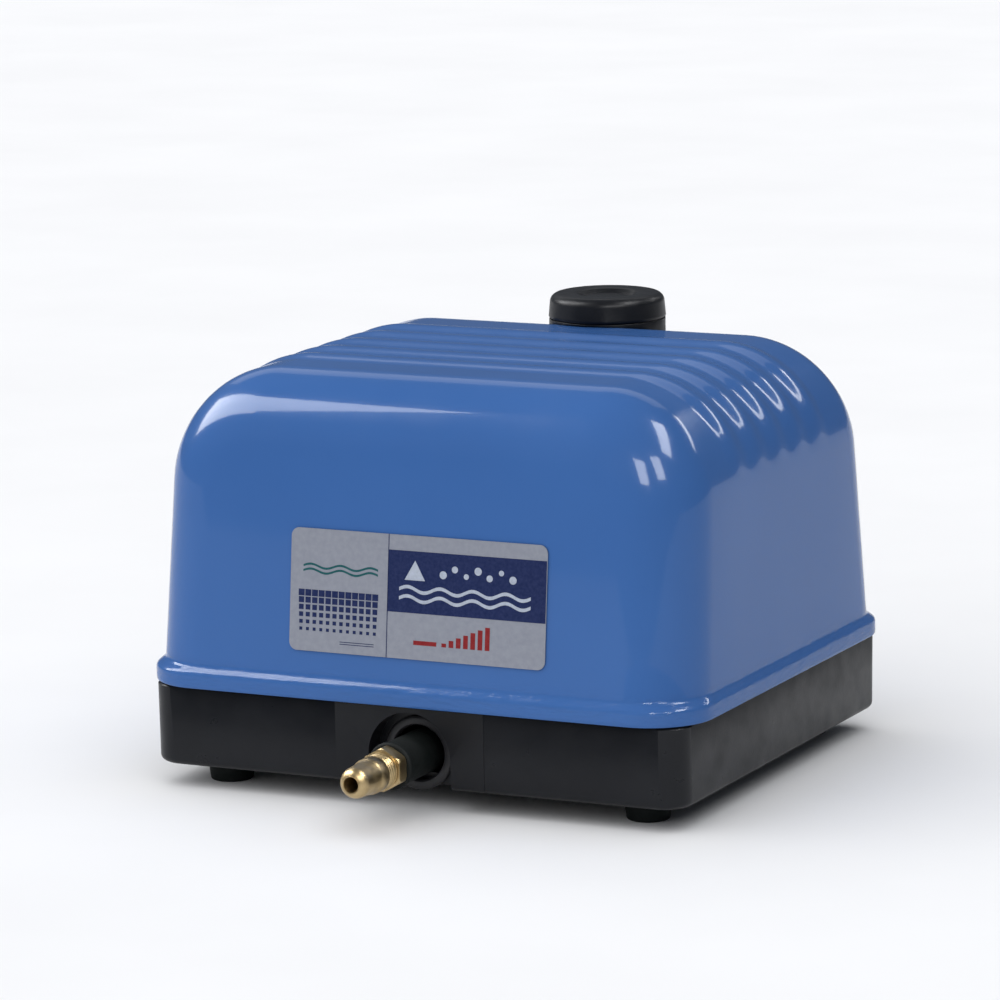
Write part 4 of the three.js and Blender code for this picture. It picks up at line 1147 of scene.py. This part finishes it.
def coil_rings(low, high):
    """Rings along the coil, each as wide as the wire is at that place in its turn."""
    straight_x, straight_z = (high.x - low.x) / 2 - COIL_CORNER, (high.z - low.z) / 2 - COIL_CORNER
    middle = (low + high) / 2
    wire = (high.y - low.y) / COIL_TURNS
    rings = []
    for k in range(COIL_TURNS * RINGS_PER_TURN + 1):
        share = k / RINGS_PER_TURN
        radius = COIL_CORNER + wire / 2 * abs(math.sin(math.pi * share)) - wire / 2
        ring = []
        for side_x, side_z, unit_x, unit_z in quarters(8):
            x = side_x * straight_x + unit_x * radius
            z = side_z * straight_z + unit_z * radius
            ring.append(Vector((middle.x + x, low.y + share * wire, middle.z + z)))
        rings.append(ring)
    return rings


def make_coil(side):
    """A coil as its real turns: stacked rings of wire round a flattened former."""
    low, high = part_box("coil_" + side)
    core_low, core_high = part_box("bobbin_" + side)
    middle = (low.z + high.z) / 2
    coil = lofted("winding_" + side, coil_rings(low, high), COPPER, COIL_CREASE)
    bottom, top = middle - CORE_HALF_HEIGHT, middle + CORE_HALF_HEIGHT
    hub = box_outline(-CORE_HALF_WIDTH, CORE_HALF_WIDTH, bottom, top)
    cut(coil, extruded("hub", hub, "y", core_low.y - MM, core_high.y + MM, COPPER))
    coil.data.shade_smooth()
    coil.data.set_sharp_from_angle(angle=math.radians(COIL_CREASE))
    stand_for(coil, "root", "copper_wire", "coil_" + side)


def each(stem, endings):
    return [stem + ending for ending in endings]


def dress_inside():
    heads = each("head_body_", SIDES) + each("valve_plate_", SIDES) + each("head_cover_", SIDES)
    dress(ALUMINIUM, "air_tank", "air_tank_lid", "motor_frame", *heads, rounding=0.6 * MM)
    dress(ZINC, *each("hood_bracket_", CORNERS), *each("hood_screw_", CORNERS), rounding=0.2 * MM)
    dress(ZINC, *each("diaphragm_clamp_", SIDES), rounding=0.3 * MM)
    dress(RUBBER, "outlet_hose", "hood_gasket", *each("tank_mount_", CORNERS), rounding=0.3 * MM)
    dress(RUBBER, *each("diaphragm_", SIDES), *each("air_tube_", SIDES), rounding=0.3 * MM)
    dress(CAP_BLACK, "filter_seat", rounding=0.4 * MM)
    dress(FOAM, "filter_sponge")
    dress(LAMINATIONS, "stator_core_front", "stator_core_rear")
    dress(FERRITE, "magnet_left", "magnet_right", rounding=0.3 * MM)
    dress(GREY_NYLON, "armature", rounding=0.4 * MM)
    dress(WHITE_NYLON, "bobbin_front", "bobbin_rear", "terminal_block", rounding=0.4 * MM)
    dress(FLAP, *each("intake_flap_", SIDES), *each("outlet_flap_", SIDES))
    dress(LEAD, "coil_lead_front", "coil_lead_rear")


BLUE = blue_enamel()
BLACK = black_moulding()
CAP_BLACK = cap_moulding()
RING_BLACK = plain_plastic("ring_moulding", (0.014, 0.014, 0.016), (0.022, 0.022, 0.025), 0.42)
RUBBER = black_rubber()
FOAM = foam()
BRASS = brass()
FOIL = label_foil()
NAVY = print_ink("navy_ink", (0.003, 0.012, 0.070))
RED = print_ink("red_ink", (0.20, 0.008, 0.010))
TEAL = print_ink("teal_ink", (0.004, 0.075, 0.085))
WHITE = print_ink("white_ink", (0.36, 0.40, 0.48))
ZINC = zinc()
ALUMINIUM = cast_aluminium()
LAMINATIONS = laminations()
COPPER = winding()
FERRITE = ferrite()
WHITE_NYLON = plain_plastic("white_nylon", (0.68, 0.66, 0.60), (0.80, 0.78, 0.72), 0.45)
GREY_NYLON = plain_plastic("grey_nylon", (0.10, 0.105, 0.115), (0.16, 0.165, 0.175), 0.5)
FLAP = plain_plastic("flap_rubber", (0.42, 0.37, 0.28), (0.55, 0.50, 0.40), 0.55)
LEAD = plain_plastic("lead_insulation", (0.30, 0.02, 0.015), (0.42, 0.035, 0.025), 0.4)

make_camera()
make_studio()
make_floor()
make_hood()
make_tray()
make_feet()
make_filter_cap()
make_sleeve()
make_flange()
make_hose_tail()
make_gland()
make_label()
make_coil("front")
make_coil("rear")
dress_inside()
